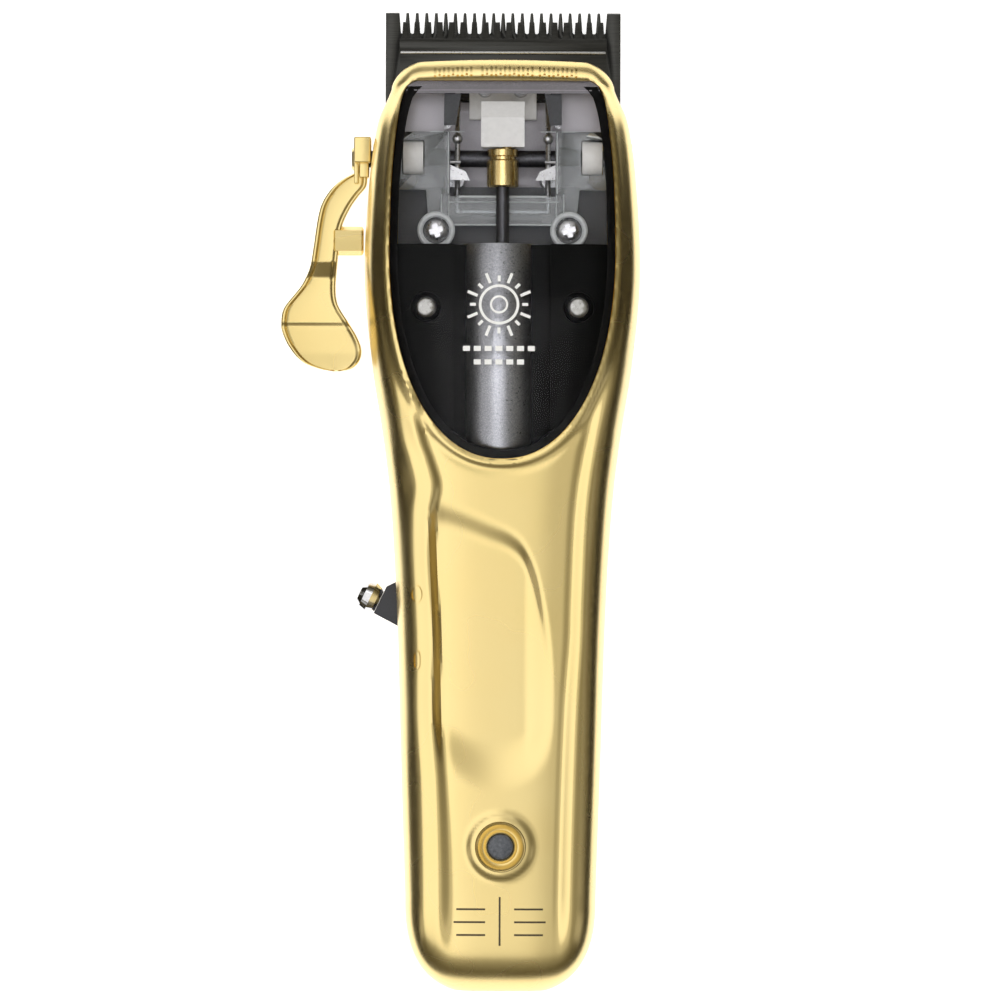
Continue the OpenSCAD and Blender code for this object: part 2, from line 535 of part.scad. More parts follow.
// Spring plunger on the arm, whose nose clicks along the housing's side
detent_y = 51.4;
detent_z = 16;
detent_r = 2.65;
detent_x = [-32, -27.4];
module detent_barrel() color("goldenrod") difference() {
    along_x(detent_x[0], detent_y, detent_z) cylinder(r = detent_r, h = detent_x[1] - detent_x[0]);
    along_x(detent_x[0] + 0.8, detent_y, detent_z) cylinder(r = 1.55, h = 6);
}
module detent_plunger() color("goldenrod") {
    along_x(detent_x[1] - 1.4, detent_y, detent_z) cylinder(r = 1.5, h = 2.2);
    along_x(detent_x[1] + 0.55, detent_y, detent_z) cylinder(r = 2.4, h = 0.5);
}
module detent_spring() color("silver") {
    from_x = detent_x[0] + 0.85;
    for (i = [0:3]) along_x(from_x + 0.2 + i * 0.48, detent_y, detent_z)
        rotate_extrude() translate([1.2, 0]) circle(r = 0.18, $fn = 16);
    along_x(from_x, detent_y + 1.2, detent_z) cylinder(r = 0.1, h = 1.7, $fn = 16);
}

front_housing();
back_housing();
window_lid();
lid_screws();
housing_screws();
chassis();
motor_cover();
motor_can();
motor_end_bell();
stator_core();
stator_windings();
front_bearing();
rear_bearing();
motor_screws();
motor_shaft();
rotor_magnet();
eccentric();
battery_cell();
battery_tabs();
circuit_board();
board_parts();
board_screws();
motor_ribbon();
charge_jack();
jack_pin();
indicator_bezel();
indicator_lens();
indicator_led();
switch_body();
toggle_pin();
toggle_paddle();
toggle_knob();
blade_mount();
mount_screws();
fixed_blade();
blade_screws();
cutter_blade();
drive_yoke();
yoke_screws();
carriage();
carriage_screws();
tension_spring();
lever_shaft();
shaft_bushes();
shaft_cams();
lever_arm();
lever_screw();
detent_barrel();
detent_plunger();
detent_spring();
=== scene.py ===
import json
import math

import bmesh
import bpy
import numpy as np
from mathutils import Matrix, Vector


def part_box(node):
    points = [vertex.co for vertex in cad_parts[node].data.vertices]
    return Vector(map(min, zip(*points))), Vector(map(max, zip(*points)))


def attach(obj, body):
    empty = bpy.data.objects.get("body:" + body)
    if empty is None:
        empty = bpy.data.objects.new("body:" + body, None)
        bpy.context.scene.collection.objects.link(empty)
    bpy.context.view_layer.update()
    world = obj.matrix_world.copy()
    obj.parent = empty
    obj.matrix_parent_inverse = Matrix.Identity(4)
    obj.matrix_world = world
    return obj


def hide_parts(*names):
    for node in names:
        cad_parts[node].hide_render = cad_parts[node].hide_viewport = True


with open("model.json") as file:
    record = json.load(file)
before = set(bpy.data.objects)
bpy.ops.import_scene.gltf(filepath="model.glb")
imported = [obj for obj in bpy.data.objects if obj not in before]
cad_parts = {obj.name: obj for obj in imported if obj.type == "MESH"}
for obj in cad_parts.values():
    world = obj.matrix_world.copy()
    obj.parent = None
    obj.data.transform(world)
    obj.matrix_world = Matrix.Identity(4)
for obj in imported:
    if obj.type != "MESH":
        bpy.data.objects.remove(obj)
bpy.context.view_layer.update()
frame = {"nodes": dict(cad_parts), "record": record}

# ---- Table, light and camera ----
# The clipper lies on its back on a pale glowing table, with the camera straight above. A broad soft box hangs
# over its left half and a narrow, dimmer one over its right. Two more stand beside the tail, one hangs beyond
# the blades, and one lights the works. Satin metal shows the gaps between them as dark shoulders.

MM = 0.001


def linear(code):
    """An sRGB hex colour as linear red, green, blue and alpha."""
    parts = [int(code[i : i + 2], 16) / 255 for i in (0, 2, 4)]
    return [c / 12.92 if c <= 0.04045 else ((c + 0.055) / 1.055) ** 2.4 for c in parts] + [1.0]


def add_node(tree, kind, settings=None, links=None):
    """A node of that kind, with its sockets or properties set by name and its inputs linked."""
    n = tree.nodes.new(kind)
    for name, value in (settings or {}).items():
        if name in n.inputs:
            n.inputs[name].default_value = value
        else:
            setattr(n, name, value)
    for name, (source, output) in (links or {}).items():
        tree.links.new(source.outputs[output], n.inputs[name])
    return n


def new_material(name, surface):
    """A material with a Principled shader set by surface, its tree ready for more nodes."""
    m = bpy.data.materials.new(name)
    m.use_nodes = True
    shader = m.node_tree.nodes["Principled BSDF"]
    for key, value in surface.items():
        shader.inputs[key].default_value = value
    return m, m.node_tree, shader


def grain(tree, size_mm, detail=2.0, stretch=(1, 1, 1)):
    """Noise in the piece's own millimetres: grains size_mm across, stretched along the axes."""
    place = add_node(tree, "ShaderNodeTexCoord")
    scale = add_node(tree, "ShaderNodeMapping", {"Scale": list(stretch)}, {"Vector": (place, "Object")})
    return add_node(tree, "ShaderNodeTexNoise", {"Scale": 1 / (size_mm * MM), "Detail": detail},
                    {"Vector": (scale, "Vector")})


NOISE_LOW, NOISE_HIGH = 0.2, 0.8  # nearly all noise values lie between these


def spread(tree, source, output, low, high):
    """Maps a noise value onto low to high."""
    ends = {"From Min": NOISE_LOW, "From Max": NOISE_HIGH, "To Min": low, "To Max": high}
    return add_node(tree, "ShaderNodeMapRange", ends, {"Value": (source, output)})


def tint(tree, shader, source, output, dark, light, socket="Base Color"):
    """Drives a colour socket between two hex colours by a noise value."""
    ramp = add_node(tree, "ShaderNodeValToRGB", links={"Fac": (source, output)})
    ramp.color_ramp.elements[0].position = NOISE_LOW
    ramp.color_ramp.elements[0].color = linear(dark)
    ramp.color_ramp.elements[1].position = NOISE_HIGH
    ramp.color_ramp.elements[1].color = linear(light)
    tree.links.new(ramp.outputs["Color"], shader.inputs[socket])


def rough(tree, shader, source, output, low, high):
    """Drives the roughness between two values by a noise value."""
    tree.links.new(spread(tree, source, output, low, high).outputs["Result"], shader.inputs["Roughness"])


def bump(tree, shader, source, output, height_mm, strength=1.0):
    """Raises the surface's shading by that height, driven by a noise value."""
    settings = {"Strength": strength, "Distance": height_mm * MM}
    b = add_node(tree, "ShaderNodeBump", settings, {"Height": (source, output)})
    tree.links.new(b.outputs["Normal"], shader.inputs["Normal"])


def grained(name, surface, size_mm, colours, roughness=None, relief=None, detail=2.0, stretch=(1, 1, 1)):
    """A material whose one grain drives its colour and, where given, its roughness and relief."""
    m, tree, shader = new_material(name, surface)
    g = grain(tree, size_mm, detail, stretch)
    tint(tree, shader, g, "Fac", *colours)
    if roughness:
        rough(tree, shader, g, "Fac", *roughness)
    if relief:
        bump(tree, shader, g, "Fac", *relief)
    return m


def add_object(name, data):
    """A new object in the scene."""
    o = bpy.data.objects.new(name, data)
    bpy.context.scene.collection.objects.link(o)
    return o


def shade(mesh, deg):
    """Smooth shading that breaks at edges sharper than deg."""
    mesh.shade_smooth()
    mesh.set_sharp_from_angle(angle=math.radians(deg))


def mesh_object(name, points, faces, smooth_deg=35):
    """A mesh piece from points in millimetres."""
    mesh = bpy.data.meshes.new(name)
    mesh.from_pydata([tuple(p) for p in np.asarray(points, float) * MM], [], faces)
    mesh.update()
    bm = bmesh.new()
    bm.from_mesh(mesh)
    bmesh.ops.remove_doubles(bm, verts=bm.verts, dist=1e-7)
    bmesh.ops.dissolve_degenerate(bm, edges=bm.edges, dist=1e-7)
    bmesh.ops.recalc_face_normals(bm, faces=bm.faces)
    bm.to_mesh(mesh)
    bm.free()
    shade(mesh, smooth_deg)
    return add_object(name, mesh)


# The table is a white light table: it glows a little, so it stays pale and gives the metal pale lower rims
surface = {"Roughness": 0.9, "Specular IOR Level": 0.1, "Emission Strength": 0.8}
table_m, tree, shader = new_material("white_light_table", surface)
speck = grain(tree, 6.0)
tint(tree, shader, speck, "Fac", "DEDEDD", "E2E2E1")
tint(tree, shader, speck, "Fac", "FDFDFD", "FFFFFF", "Emission Color")
TABLE_HALF, TABLE_Z = 700, -0.2
corners = [(x * TABLE_HALF, y * TABLE_HALF, TABLE_Z) for x, y in ((-1, -1), (1, -1), (1, 1), (-1, 1))]
table = mesh_object("table", corners, [(0, 1, 2, 3)])
table.data.materials.append(table_m)

# Dark cards on both sides of the table show only in the metal, where they end the pale rim
card_m = grained("black_card", {"Roughness": 0.9, "Specular IOR Level": 0.1}, 4.0, ("1E1A10", "242014"))
CARD_FROM, CARD_TO = 60, 600
for side, name in ((-1, "left_card"), (1, "right_card")):
    x0, x1 = side * CARD_FROM, side * CARD_TO
    corners = [(x0, -CARD_TO, 0), (x1, -CARD_TO, 0), (x1, CARD_TO, 0), (x0, CARD_TO, 0)]
    card = mesh_object(name, corners, [(0, 1, 2, 3)])
    card.data.materials.append(card_m)
    card.visible_camera = card.visible_diffuse = card.visible_transmission = card.visible_shadow = False

# The room is dim and warm at the horizon and paler overhead
world = bpy.data.worlds.new("pale_room")
bpy.context.scene.world = world
world.use_nodes = True
tree = world.node_tree
place = add_node(tree, "ShaderNodeTexCoord")
split = add_node(tree, "ShaderNodeSeparateXYZ", links={"Vector": (place, "Generated")})
fade = add_node(tree, "ShaderNodeValToRGB", links={"Fac": (split, "Z")})
horizon, overhead = fade.color_ramp.elements
horizon.position, horizon.color = 0.25, linear("4E4836")
overhead.position, overhead.color = 0.90, linear("B2AFA2")
tree.links.new(fade.outputs["Color"], tree.nodes["Background"].inputs["Color"])


def soft_box(name, place, aim, size, radiance):
    """A soft box that looks equally bright from every side. Its place, aim and size are in metres."""
    data = bpy.data.lights.new(name, "AREA")
    data.shape = "RECTANGLE"
    data.size, data.size_y = size
    data.energy = radiance * math.pi * size[0] * size[1]
    lamp = add_object(name, data)
    lamp.location = place
    lamp.rotation_euler = (Vector(aim) - Vector(place)).to_track_quat("-Z", "Y").to_euler()
    lamp.visible_camera = False
    return lamp


soft_box("key_box", (-0.51, 0.0, 0.80), (-0.51, 0, 0.02), (1.10, 1.5), 0.84)
soft_box("fill_box", (0.30, 0.0, 0.80), (0.30, 0, 0.02), (0.30, 1.5), 0.25)
for side in (-1, 1):
    soft_box("tail_side_box", (side * 0.7, -0.30, 0.22), (side * 0.1, -0.09, 0.02), (0.28, 0.35), 0.42)
works_box = soft_box("works_box", (0.0, 0.10, 0.90), (0, 0.04, 0.02), (0.5, 0.6), 2.6)
works_box.visible_glossy = False  # it lights the works inside, and doesn't show in the metal
soft_box("head_box", (0.0, 0.72, 0.70), (0, 0, 0.02), (0.9, 0.25), 0.7)

camera_data = bpy.data.cameras.new("camera")
camera_data.lens = 190
camera_data.sensor_width = 36
camera_data.clip_end = 10
camera = add_object("camera", camera_data)
camera.location = (-0.0003, 0.00234, 1.018)
camera.rotation_euler = (0, 0, math.radians(0.2))
bpy.context.scene.camera = camera
bpy.context.scene.view_settings.view_transform = "Standard"

# ---- Front housing ----
# Die-cast zinc shell, bead-blasted and plated in satin gold. It has a raised bead round the window, side
# rails, a thumb scoop and a boss round the light. The toggle, the lever's shaft, the charging plug and the
# light each pass through a hole in it, and fine grooves are engraved at its tail.

NOSE_Y, TAIL_Y, TAIL_START, NOSE_R = 86.0, -90.0, -72.0, 3.0
SPLIT_Z, WALL, TAIL_STOP = 10.5, 2.6, 66.0
BACK_SQUARE, FRONT_SQUARE = 2.7, 4.6  # how square the section is below and above its widest line
# Half width, and the heights of the front face, the widest line and the back, along Y
HALF_WIDTH = [(-90, 17.6), (-72, 18.0), (-47, 18.8), (-20, 19.6), (1, 20.8), (14.5, 22.4), (28, 24.5),
              (45, 26.0), (64, 25.1), (75, 23.5), (83, 21.2)]
FRONT = [(-90, 33), (-72, 33.6), (-40, 35), (-10, 37.5), (12, 40), (30, 41), (48, 38), (58, 34.4),
         (67, 29.8), (75, 24.8), (83, 18.4)]
MIDDLE = [(-90, 17), (-30, 17), (35, 17), (60, 14.6), (83, 12.4)]
BACK = [(-90, -0.8), (0, -0.8), (45, -0.8), (70, 1.5)]


def along(keys, y):
    """Smooth curve through the keys, as the CAD has it."""
    ys, vs = (np.array(v, float) for v in zip(*keys))
    slope = np.empty(len(ys))
    slope[1:-1] = (vs[2:] - vs[:-2]) / (ys[2:] - ys[:-2])
    slope[0] = (vs[1] - vs[0]) / (ys[1] - ys[0])
    slope[-1] = (vs[-1] - vs[-2]) / (ys[-1] - ys[-2])
    i = np.clip(np.searchsorted(ys, y, side="right") - 1, 0, len(ys) - 2)
    h = ys[i + 1] - ys[i]
    t = (y - ys[i]) / h
    return ((2 * t**3 - 3 * t**2 + 1) * vs[i] + (t**3 - 2 * t**2 + t) * h * slope[i]
            + (3 * t**2 - 2 * t**3) * vs[i + 1] + (t**3 - t**2) * h * slope[i + 1])


def smooth(t):
    """Smooth step from 0 to 1."""
    u = np.clip(t, 0, 1)
    return u * u * (3 - 2 * u)


def station(y, inset):
    """Place, half width, front, widest line and back of the section at y, all that far inside the shell."""
    return [y, along(HALF_WIDTH, y) - inset, along(FRONT, y) - inset, along(MIDDLE, y),
            along(BACK, y) + inset]


def tail_station(deg, inset):
    """A section of the rounded tail, deg round its curve."""
    s = station(TAIL_START, inset)
    a, p = math.radians(deg), 2 / BACK_SQUARE
    e = math.cos(a) ** p
    reach = (TAIL_START - TAIL_Y - inset) / math.sin(math.radians(TAIL_STOP)) ** p
    y = TAIL_START - reach * math.sin(a) ** p
    return [y, s[1] * e, s[3] + (s[2] - s[3]) * e, s[3], s[3] - (s[3] - s[4]) * e]


def nose_station(deg, inset):
    """A section of the rounded front edge, deg round its curve."""
    s = station(NOSE_Y - NOSE_R, inset)
    a = math.radians(deg)
    c = 1 - math.cos(a)
    y = NOSE_Y - NOSE_R + (NOSE_R - inset) * math.sin(a)
    return [y, s[1] - 2.7 * c, s[2] - 2.4 * math.sin(a) - c, s[3], s[4]]


def section(s, low, high, n):
    """n points round a station's section between two angles, evenly spaced along it."""
    t = np.radians(np.linspace(low, high, 1441))
    c, v = np.cos(t), np.sin(t)
    p = np.where(v < 0, 2 / BACK_SQUARE, 2 / FRONT_SQUARE)
    x = s[1] * np.sign(c) * np.abs(c) ** p
    z = s[3] + np.where(v < 0, s[3] - s[4], s[2] - s[3]) * np.sign(v) * np.abs(v) ** p
    run = np.concatenate([[0], np.cumsum(np.hypot(np.diff(x), np.diff(z)))])
    at = np.linspace(0, run[-1], n)
    return np.stack([np.interp(at, run, x), np.full(n, s[0]), np.interp(at, run, z)], 1)


def split_deg(s):
    """The angle below the widest line at which a section meets the parting plane."""
    return math.degrees(math.asin(min(1, (s[3] - SPLIT_Z) / (s[3] - s[4])) ** (BACK_SQUARE / 2)))


def front_z(x, y, inset=0.0):
    """Height of the front face's plain shape at x, y."""
    s = station(y, inset)
    return s[3] + (s[2] - s[3]) * np.clip(1 - (np.abs(x) / s[1]) ** FRONT_SQUARE, 0, 1) ** (1 / FRONT_SQUARE)


# The window's outline: half width along Y
WINDOW_W, WINDOW_ROUND, WINDOW_TAIL, WINDOW_FRONT = 21.2, 50.0, 9.9, 81.8
WINDOW_SIDE = [(50, 21.2), (58, 21.08), (66, 20.7), (75, 19.8), (79.4, 18.9), (81, 18.1), (81.8, 16.8)]


def window_half(y, inset=0.0):
    """The window's half width at y, that far inside its edge."""
    y = np.asarray(y, float)
    t = np.clip((WINDOW_ROUND - y) / (WINDOW_ROUND - WINDOW_TAIL - inset), 0, 1)
    tail = (WINDOW_W - inset) * (1 - t**2.2) ** (1 / 2.2)
    side = along(WINDOW_SIDE, np.clip(y + inset * smooth((y - 60) / 20), 50, WINDOW_FRONT)) - inset
    return np.where(y < WINDOW_ROUND, tail, side)


def window_edge():
    """The window's outline as a closed loop of points."""
    ys = WINDOW_ROUND - (WINDOW_ROUND - WINDOW_TAIL) * np.sin(np.linspace(0, math.pi / 2, 90))
    ys = np.concatenate([np.linspace(WINDOW_FRONT, 78, 14), np.linspace(77, WINDOW_ROUND + 1, 12), ys])
    half = window_half(ys)
    return np.concatenate([np.stack([half, ys], 1), np.stack([-half, ys], 1)[::-1]])


def edge_distance(x, y, loop):
    """Distance from each point to a closed loop."""
    best = np.full(np.shape(x), 1e9)
    for (ax, ay), (bx, by) in zip(loop, np.roll(loop, -1, 0)):
        dx, dy = bx - ax, by - ay
        t = np.clip(((x - ax) * dx + (y - ay) * dy) / max(dx * dx + dy * dy, 1e-9), 0, 1)
        best = np.minimum(best, np.hypot(x - ax - t * dx, y - ay - t * dy))
    return best


# Inner edges of the two rails along Y, and the scoop's top edge and the width of its wall along X
LEFT_RAIL = [(-90, -11.6), (-66, -11.6), (-50, -12.0), (-43, -12.6), (-36, -13.0), (-24, -12.9),
             (-8, -13.75), (0, -13.6), (5, -12.9), (10, -14.2), (13.7, -15.6), (21.3, -17.2), (30, -19.6)]
RIGHT_RAIL = [(-90, 10.9), (-73.7, 11.1), (-54.7, 11.5), (-35.7, 12.2), (-24, 13.0), (-16.7, 13.2),
              (-1.5, 13.8), (6.1, 14.6), (13.7, 16.0), (18.5, 17.2), (23.2, 18.8), (30, 20.6)]
SCOOP_TOP = [(-15, 4.4), (-12.9, 3.5), (-8.6, 2.0), (-2.8, -0.5), (3.1, -3.9), (6.0, -8.7), (7.6, -14),
             (9, -20), (11, -30)]
SCOOP_WALL = [(-15, 6.6), (-11, 6.2), (-3.7, 5.9), (4.1, 5.0), (6.5, 6.5), (9, 11), (11, 15)]
LIGHT_Y = -62.4


def face_drop(x, y):
    """How far the sunk panel, the scoop, the window's bead and the light's boss lower the front face."""
    left = along(LEFT_RAIL, np.clip(y, -90, 30))
    right = along(RIGHT_RAIL, np.clip(y, -90, 30))
    # Between the rails the face is sunk 1.2 mm, more softly towards the tail
    fade = smooth((y + 86) / 14) * smooth((30 - y) / 14)
    sharp = 0.3 + 0.7 * smooth((y + 72) / 34)
    left_wall = smooth((x - left + 0.3) / (2.3 + 1.2 * (1 - sharp)))
    panel = 1.2 * left_wall * smooth((right + 2.4 - x) / 2.8) * fade
    valley = fade * (0.12 * sharp * np.exp(-(((x - left - 1.8) / 0.8) ** 2))
                     + 0.20 * np.exp(-(((x - right + 0.4) / 0.8) ** 2))
                     - 0.42 * np.exp(-(((x - left + 3.0) / 1.2) ** 2)))
    # The scoop is sunk 1.25 mm more, under a slanting top edge
    xs = np.clip(x, -15, 11)
    top = smooth((along(SCOOP_TOP, xs) - y) / along(SCOOP_WALL, xs))
    scoop = 1.25 * (smooth((x - left - 0.2) / 1.6) * top * smooth((10.4 - x) / 6.0)
                    * smooth((y + 52.5 - 0.05 * (x + 1) ** 2) / 10.0))
    # The bead stands 0.36 mm proud round the window, and the boss 0.85 mm round the light
    d = edge_distance(x, y, window_edge())
    bead = -0.36 * np.exp(-(((d - 0.75) / 0.6) ** 2)) + 0.16 * np.exp(-(((d - 2.1) / 0.75) ** 2))
    r = np.hypot(x, y - LIGHT_Y)
    boss = -0.85 * smooth((6.9 - r) / 1.9)
    return panel + valley + scoop + bead + boss


def nose_arch(x, y):
    """How far the front edge curves back towards the tail."""
    return (0.7 * (x / 20) ** 2 + 2.2 * smooth((np.abs(x) - 15.5) / 6.5)) * smooth((y - 72) / 13)


def tube_faces(count, n):
    """Faces of a skin through count rings of n points."""
    return [(i * n + j, i * n + (j + 1) % n, (i + 1) * n + (j + 1) % n, (i + 1) * n + j)
            for i in range(count - 1) for j in range(n)]


def ring_mesh(name, rings, cap_steps=(0.72, 0.4, 0.0)):
    """A closed skin through rings of equal length, each end drawn in to a point over a few steps."""
    def cap(ring):
        middle = ring.mean(0)
        flat = middle * [1, 0, 1] + ring * [0, 1, 0]
        tip = np.tile([middle[0], ring[:, 1].max(), middle[2]], (len(ring), 1))
        return [flat + (ring - flat) * s if s else tip for s in cap_steps]

    rings = cap(rings[0])[::-1] + list(rings) + cap(rings[-1])
    return mesh_object(name, np.concatenate(rings), tube_faces(len(rings), len(rings[0])))


def body_rows(inset, step, last):
    """Sections from the tail to y = last, closer together where the scoop meets the window."""
    rows = [tail_station(d, inset) for d in np.linspace(TAIL_STOP, 0, 22)]
    ys = [TAIL_START]
    while ys[-1] < last - step:
        ys.append(ys[-1] + (0.55 if abs(ys[-1] - 9.5) < 5 else 1.0) * step)
    return rows + [station(np.float64(y), inset) for y in ys[1:] + [last]]


def front_rings(inset, step, n, detailed):
    """Rings of the front half: its detailed outside, or a plain inside that reaches past the parting plane."""
    rows = body_rows(inset, step, NOSE_Y - NOSE_R)
    nose = (12, 24, 36, 48, 60, 70, 80, 90) if detailed else (35, 65, 90)
    rows += [nose_station(d, inset) for d in nose]
    rings = []
    for s in rows:
        a = split_deg(s)
        q = section(s, -a, 180 + a, n)
        if detailed:
            near_face = smooth((q[:, 2] - s[3]) / (0.35 * (s[2] - s[3])))
            q[:, 2] -= face_drop(q[:, 0], q[:, 1]) * near_face
        q[:, 1] -= nose_arch(q[:, 0], q[:, 1])
        if not detailed:
            q[[0, -1], 2] = SPLIT_Z - 1
        rings.append(q)
    return rings


def apply_modifiers(o):
    """Turns the piece's modifiers into its mesh."""
    done = bpy.data.meshes.new_from_object(o.evaluated_get(bpy.context.evaluated_depsgraph_get()))
    o.modifiers.clear()
    o.data = done


def cut(target, cutter, how="DIFFERENCE"):
    """Cuts one piece by another, and removes the cutter."""
    m = target.modifiers.new("cut", "BOOLEAN")
    m.operation, m.object, m.solver = how, cutter, "EXACT"
    m.use_self = False
    apply_modifiers(target)
    bpy.data.objects.remove(cutter)
    return target


def slab(name, y0, y1, inset, top, bottom, rows=96, cols=44, edge_round=0.0):
    """A piece in the window's outline, between two heights that are functions of x and y."""
    t = np.linspace(0, 1, rows)
    round_tail = y0 < WINDOW_ROUND
    ys = y0 + (y1 - y0) * (1 - np.cos(t * math.pi / 2)) if round_tail else np.linspace(y0, y1, rows)
    u = np.sin(np.linspace(-math.pi / 2, math.pi / 2, cols))
    half = np.maximum(window_half(ys, inset), 0.02)
    x = half[:, None] * u[None, :]
    y = np.repeat(ys[:, None], cols, 1)
    up, down = top(x, y), bottom(x, y)
    if edge_round:
        gone = np.minimum(half[:, None] * (1 - np.abs(u[None, :])), np.minimum(y - y0, y1 - y))
        up = up - edge_round * (1 - smooth(gone / 0.9))
    pts = np.concatenate([np.stack([x, y, z], -1).reshape(-1, 3) for z in (up, down)])
    n = rows * cols
    grid = [(i * cols + j, i * cols + j + 1, (i + 1) * cols + j + 1, (i + 1) * cols + j)
            for i in range(rows - 1) for j in range(cols - 1)]
    rim = ([i * cols for i in range(rows)] + [(rows - 1) * cols + j for j in range(1, cols)]
           + [i * cols + cols - 1 for i in range(rows - 2, -1, -1)] + [j for j in range(cols - 2, 0, -1)])
    faces = grid + [tuple(n + k for k in reversed(f)) for f in grid]
    faces += [(a, b, b + n, a + n) for a, b in zip(rim, rim[1:] + rim[:1])]
    return mesh_object(name, pts, faces)


def lathe(name, profile, axis, place, sides=64, smooth_deg=35):
    """A turned piece: (radius, distance along the axis) pairs, from the axis out and back to it."""
    a = np.linspace(0, 2 * math.pi, sides, endpoint=False)
    pts = []
    for r, h in profile:
        ring = {"x": (np.full(sides, h), r * np.cos(a), r * np.sin(a)),
                "y": (r * np.sin(a), np.full(sides, h), r * np.cos(a)),
                "z": (r * np.cos(a), r * np.sin(a), np.full(sides, h))}[axis]
        pts.append(np.stack(ring, 1) + np.array(place))
    return mesh_object(name, np.concatenate(pts), tube_faces(len(pts), sides), smooth_deg)


def strip(name, path, width, up, down, closed, surface):
    """A band along a path of x, y points on a surface, from up above it to down below it."""
    p = np.array(path, float)
    ahead = np.roll(p, -1, 0) - p if closed else np.gradient(p, axis=0)
    back = p - np.roll(p, 1, 0) if closed else ahead
    way = ahead / np.linalg.norm(ahead, axis=1)[:, None] + back / np.linalg.norm(back, axis=1)[:, None]
    way /= np.linalg.norm(way, axis=1)[:, None]
    side = np.stack([-way[:, 1], way[:, 0]], 1) * width / 2
    ring = []
    for k, (x, y) in enumerate(p):
        a, b = p[k] + side[k], p[k] - side[k]
        za, zb = (float(surface(np.float64(q[0]), np.float64(q[1]))) for q in (a, b))
        ring.append([(*a, za + up), (*b, zb + up), (*b, zb - down), (*a, za - down)])
    n = len(ring)
    faces = [(i * 4 + j, i * 4 + (j + 1) % 4, (i + 1) % n * 4 + (j + 1) % 4, (i + 1) % n * 4 + j)
             for i in range(n if closed else n - 1) for j in range(4)]
    if not closed:
        faces += [(3, 2, 1, 0), tuple(4 * (n - 1) + j for j in range(4))]
    return mesh_object(name, np.concatenate(ring), faces)


def join(name, pieces):
    """One piece out of several."""
    mesh = bpy.data.meshes.new(name)
    bm = bmesh.new()
    for piece in pieces:
        bm.from_mesh(piece.data)
    bm.to_mesh(mesh)
    bm.free()
    for piece in pieces:
        bpy.data.objects.remove(piece)
    shade(mesh, 35)
    return add_object(name, mesh)


def finish_piece(piece, material, body, slot, *replaced):
    """Gives a piece its material and body, and hides the CAD nodes that it stands for. Its slot is not used.
    """
    piece.data.materials.clear()
    piece.data.materials.append(material)
    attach(piece, body)
    if replaced:
        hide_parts(*replaced)
    return piece


# Satin gold plating over bead-blasted zinc: soft broad highlights, deep warm shoulders and a fine even grain.
# The grain is about 0.05 mm, and is drawn at 0.16 mm so that it shows.
gold, tree, shader = new_material("satin_gold_plate", {"Metallic": 1.0, "Roughness": 0.27})
blast = grain(tree, 0.16, 1.0)
drift = grain(tree, 22.0, 2.0)
tint(tree, shader, drift, "Fac", "EFD694", "F4DFA2")
rough(tree, shader, drift, "Fac", 0.24, 0.31)
bump(tree, shader, blast, "Fac", 0.006, 0.35)

front = ring_mesh("gold_front_housing", front_rings(0, 0.62, 190, True))
front = cut(front, ring_mesh("inner", front_rings(WALL, 4.0, 48, False)))
# The seat that the lid lies in, and the opening inside it, which leaves a ledge under the lid's rim
SEAT_DEEP, LEDGE = 1.85, 1.2
front = cut(front, slab("lid_seat", WINDOW_TAIL, WINDOW_FRONT, 0, lambda x, y: front_z(x, y) + 4,
                        lambda x, y: front_z(x, y, SEAT_DEEP)))
front = cut(front, slab("opening", WINDOW_TAIL + LEDGE, WINDOW_FRONT - LEDGE, LEDGE,
                        lambda x, y: front_z(x, y) + 5, lambda x, y: 0 * x + 12.0))


def prism_faces(n):
    """Faces of a prism with n corners at each end."""
    ends = [tuple(range(n))[::-1], tuple(range(n, 2 * n))]
    return ends + [(i, (i + 1) % n, n + (i + 1) % n, n + i) for i in range(n)]


def rounded_bar(name, x0, x1, y0, y1, z, half):
    """A bar along X with a stadium section in Y and Z, for slots."""
    a = np.linspace(-math.pi / 2, math.pi / 2, 12)
    loop = ([(y1 - half + half * math.cos(t), z + half * math.sin(t)) for t in a]
            + [(y0 + half - half * math.cos(t), z - half * math.sin(t)) for t in a])
    pts = [(x, y, h) for x in (x0, x1) for y, h in loop]
    return mesh_object(name, pts, prism_faces(len(loop)))


TOGGLE_Z, INLET_Z = 18.0, 17.5
LEVER_Y, LEVER_Z = 67.1, 14  # the axis that the taper lever turns on
front = cut(front, rounded_bar("toggle_slot", -24, -14, -27.6, -12.2, TOGGLE_Z, 1.9))
for x0 in (-30, 14):
    front = cut(front, lathe("bush_hole", [(0, 0), (3.05, 0), (3.05, 16), (0, 16)], "x",
                             (x0, LEVER_Y, LEVER_Z)))
front = cut(front, lathe("inlet_hole", [(0, 0), (4.25, 0), (4.25, 9), (0, 9)], "y",
                         (0, -92, INLET_Z)))
front = cut(front, lathe("light_hole", [(0, 0), (4.75, 0), (4.75, 14), (0, 14)], "z",
                         (0, LIGHT_Y, 25)))


def shell_z(x, y):
    """Height of the front face with its relief."""
    return front_z(x, y) - face_drop(np.atleast_1d(x), np.atleast_1d(y))[0]


# Engraved grooves at the tail: one down the middle and three to each side
GROOVE_W = 0.36
grooves = [[(-0.1, y) for y in np.linspace(-80.9, -71.8, 8)]]
for side in (-1, 1):
    for y, reach in ((-74.1, 8.1), (-76.5, 8.6), (-78.9, 8.1)):
        grooves.append([(side * x - 0.1, y) for x in np.linspace(2.7, reach, 6)])
for path in grooves:
    front = cut(front, strip("groove", path, GROOVE_W, 0.5, 0.3, False, shell_z))
shade(front.data, 32)
finish_piece(front, gold, "housing", "gold_metal", "front_housing")

# ---- Back housing ----
# The other half of the die-cast shell, with the same plating and a flat for lying on. Four deep wells hold
# the screws that draw the halves together, and its front end opens for the blade mount.

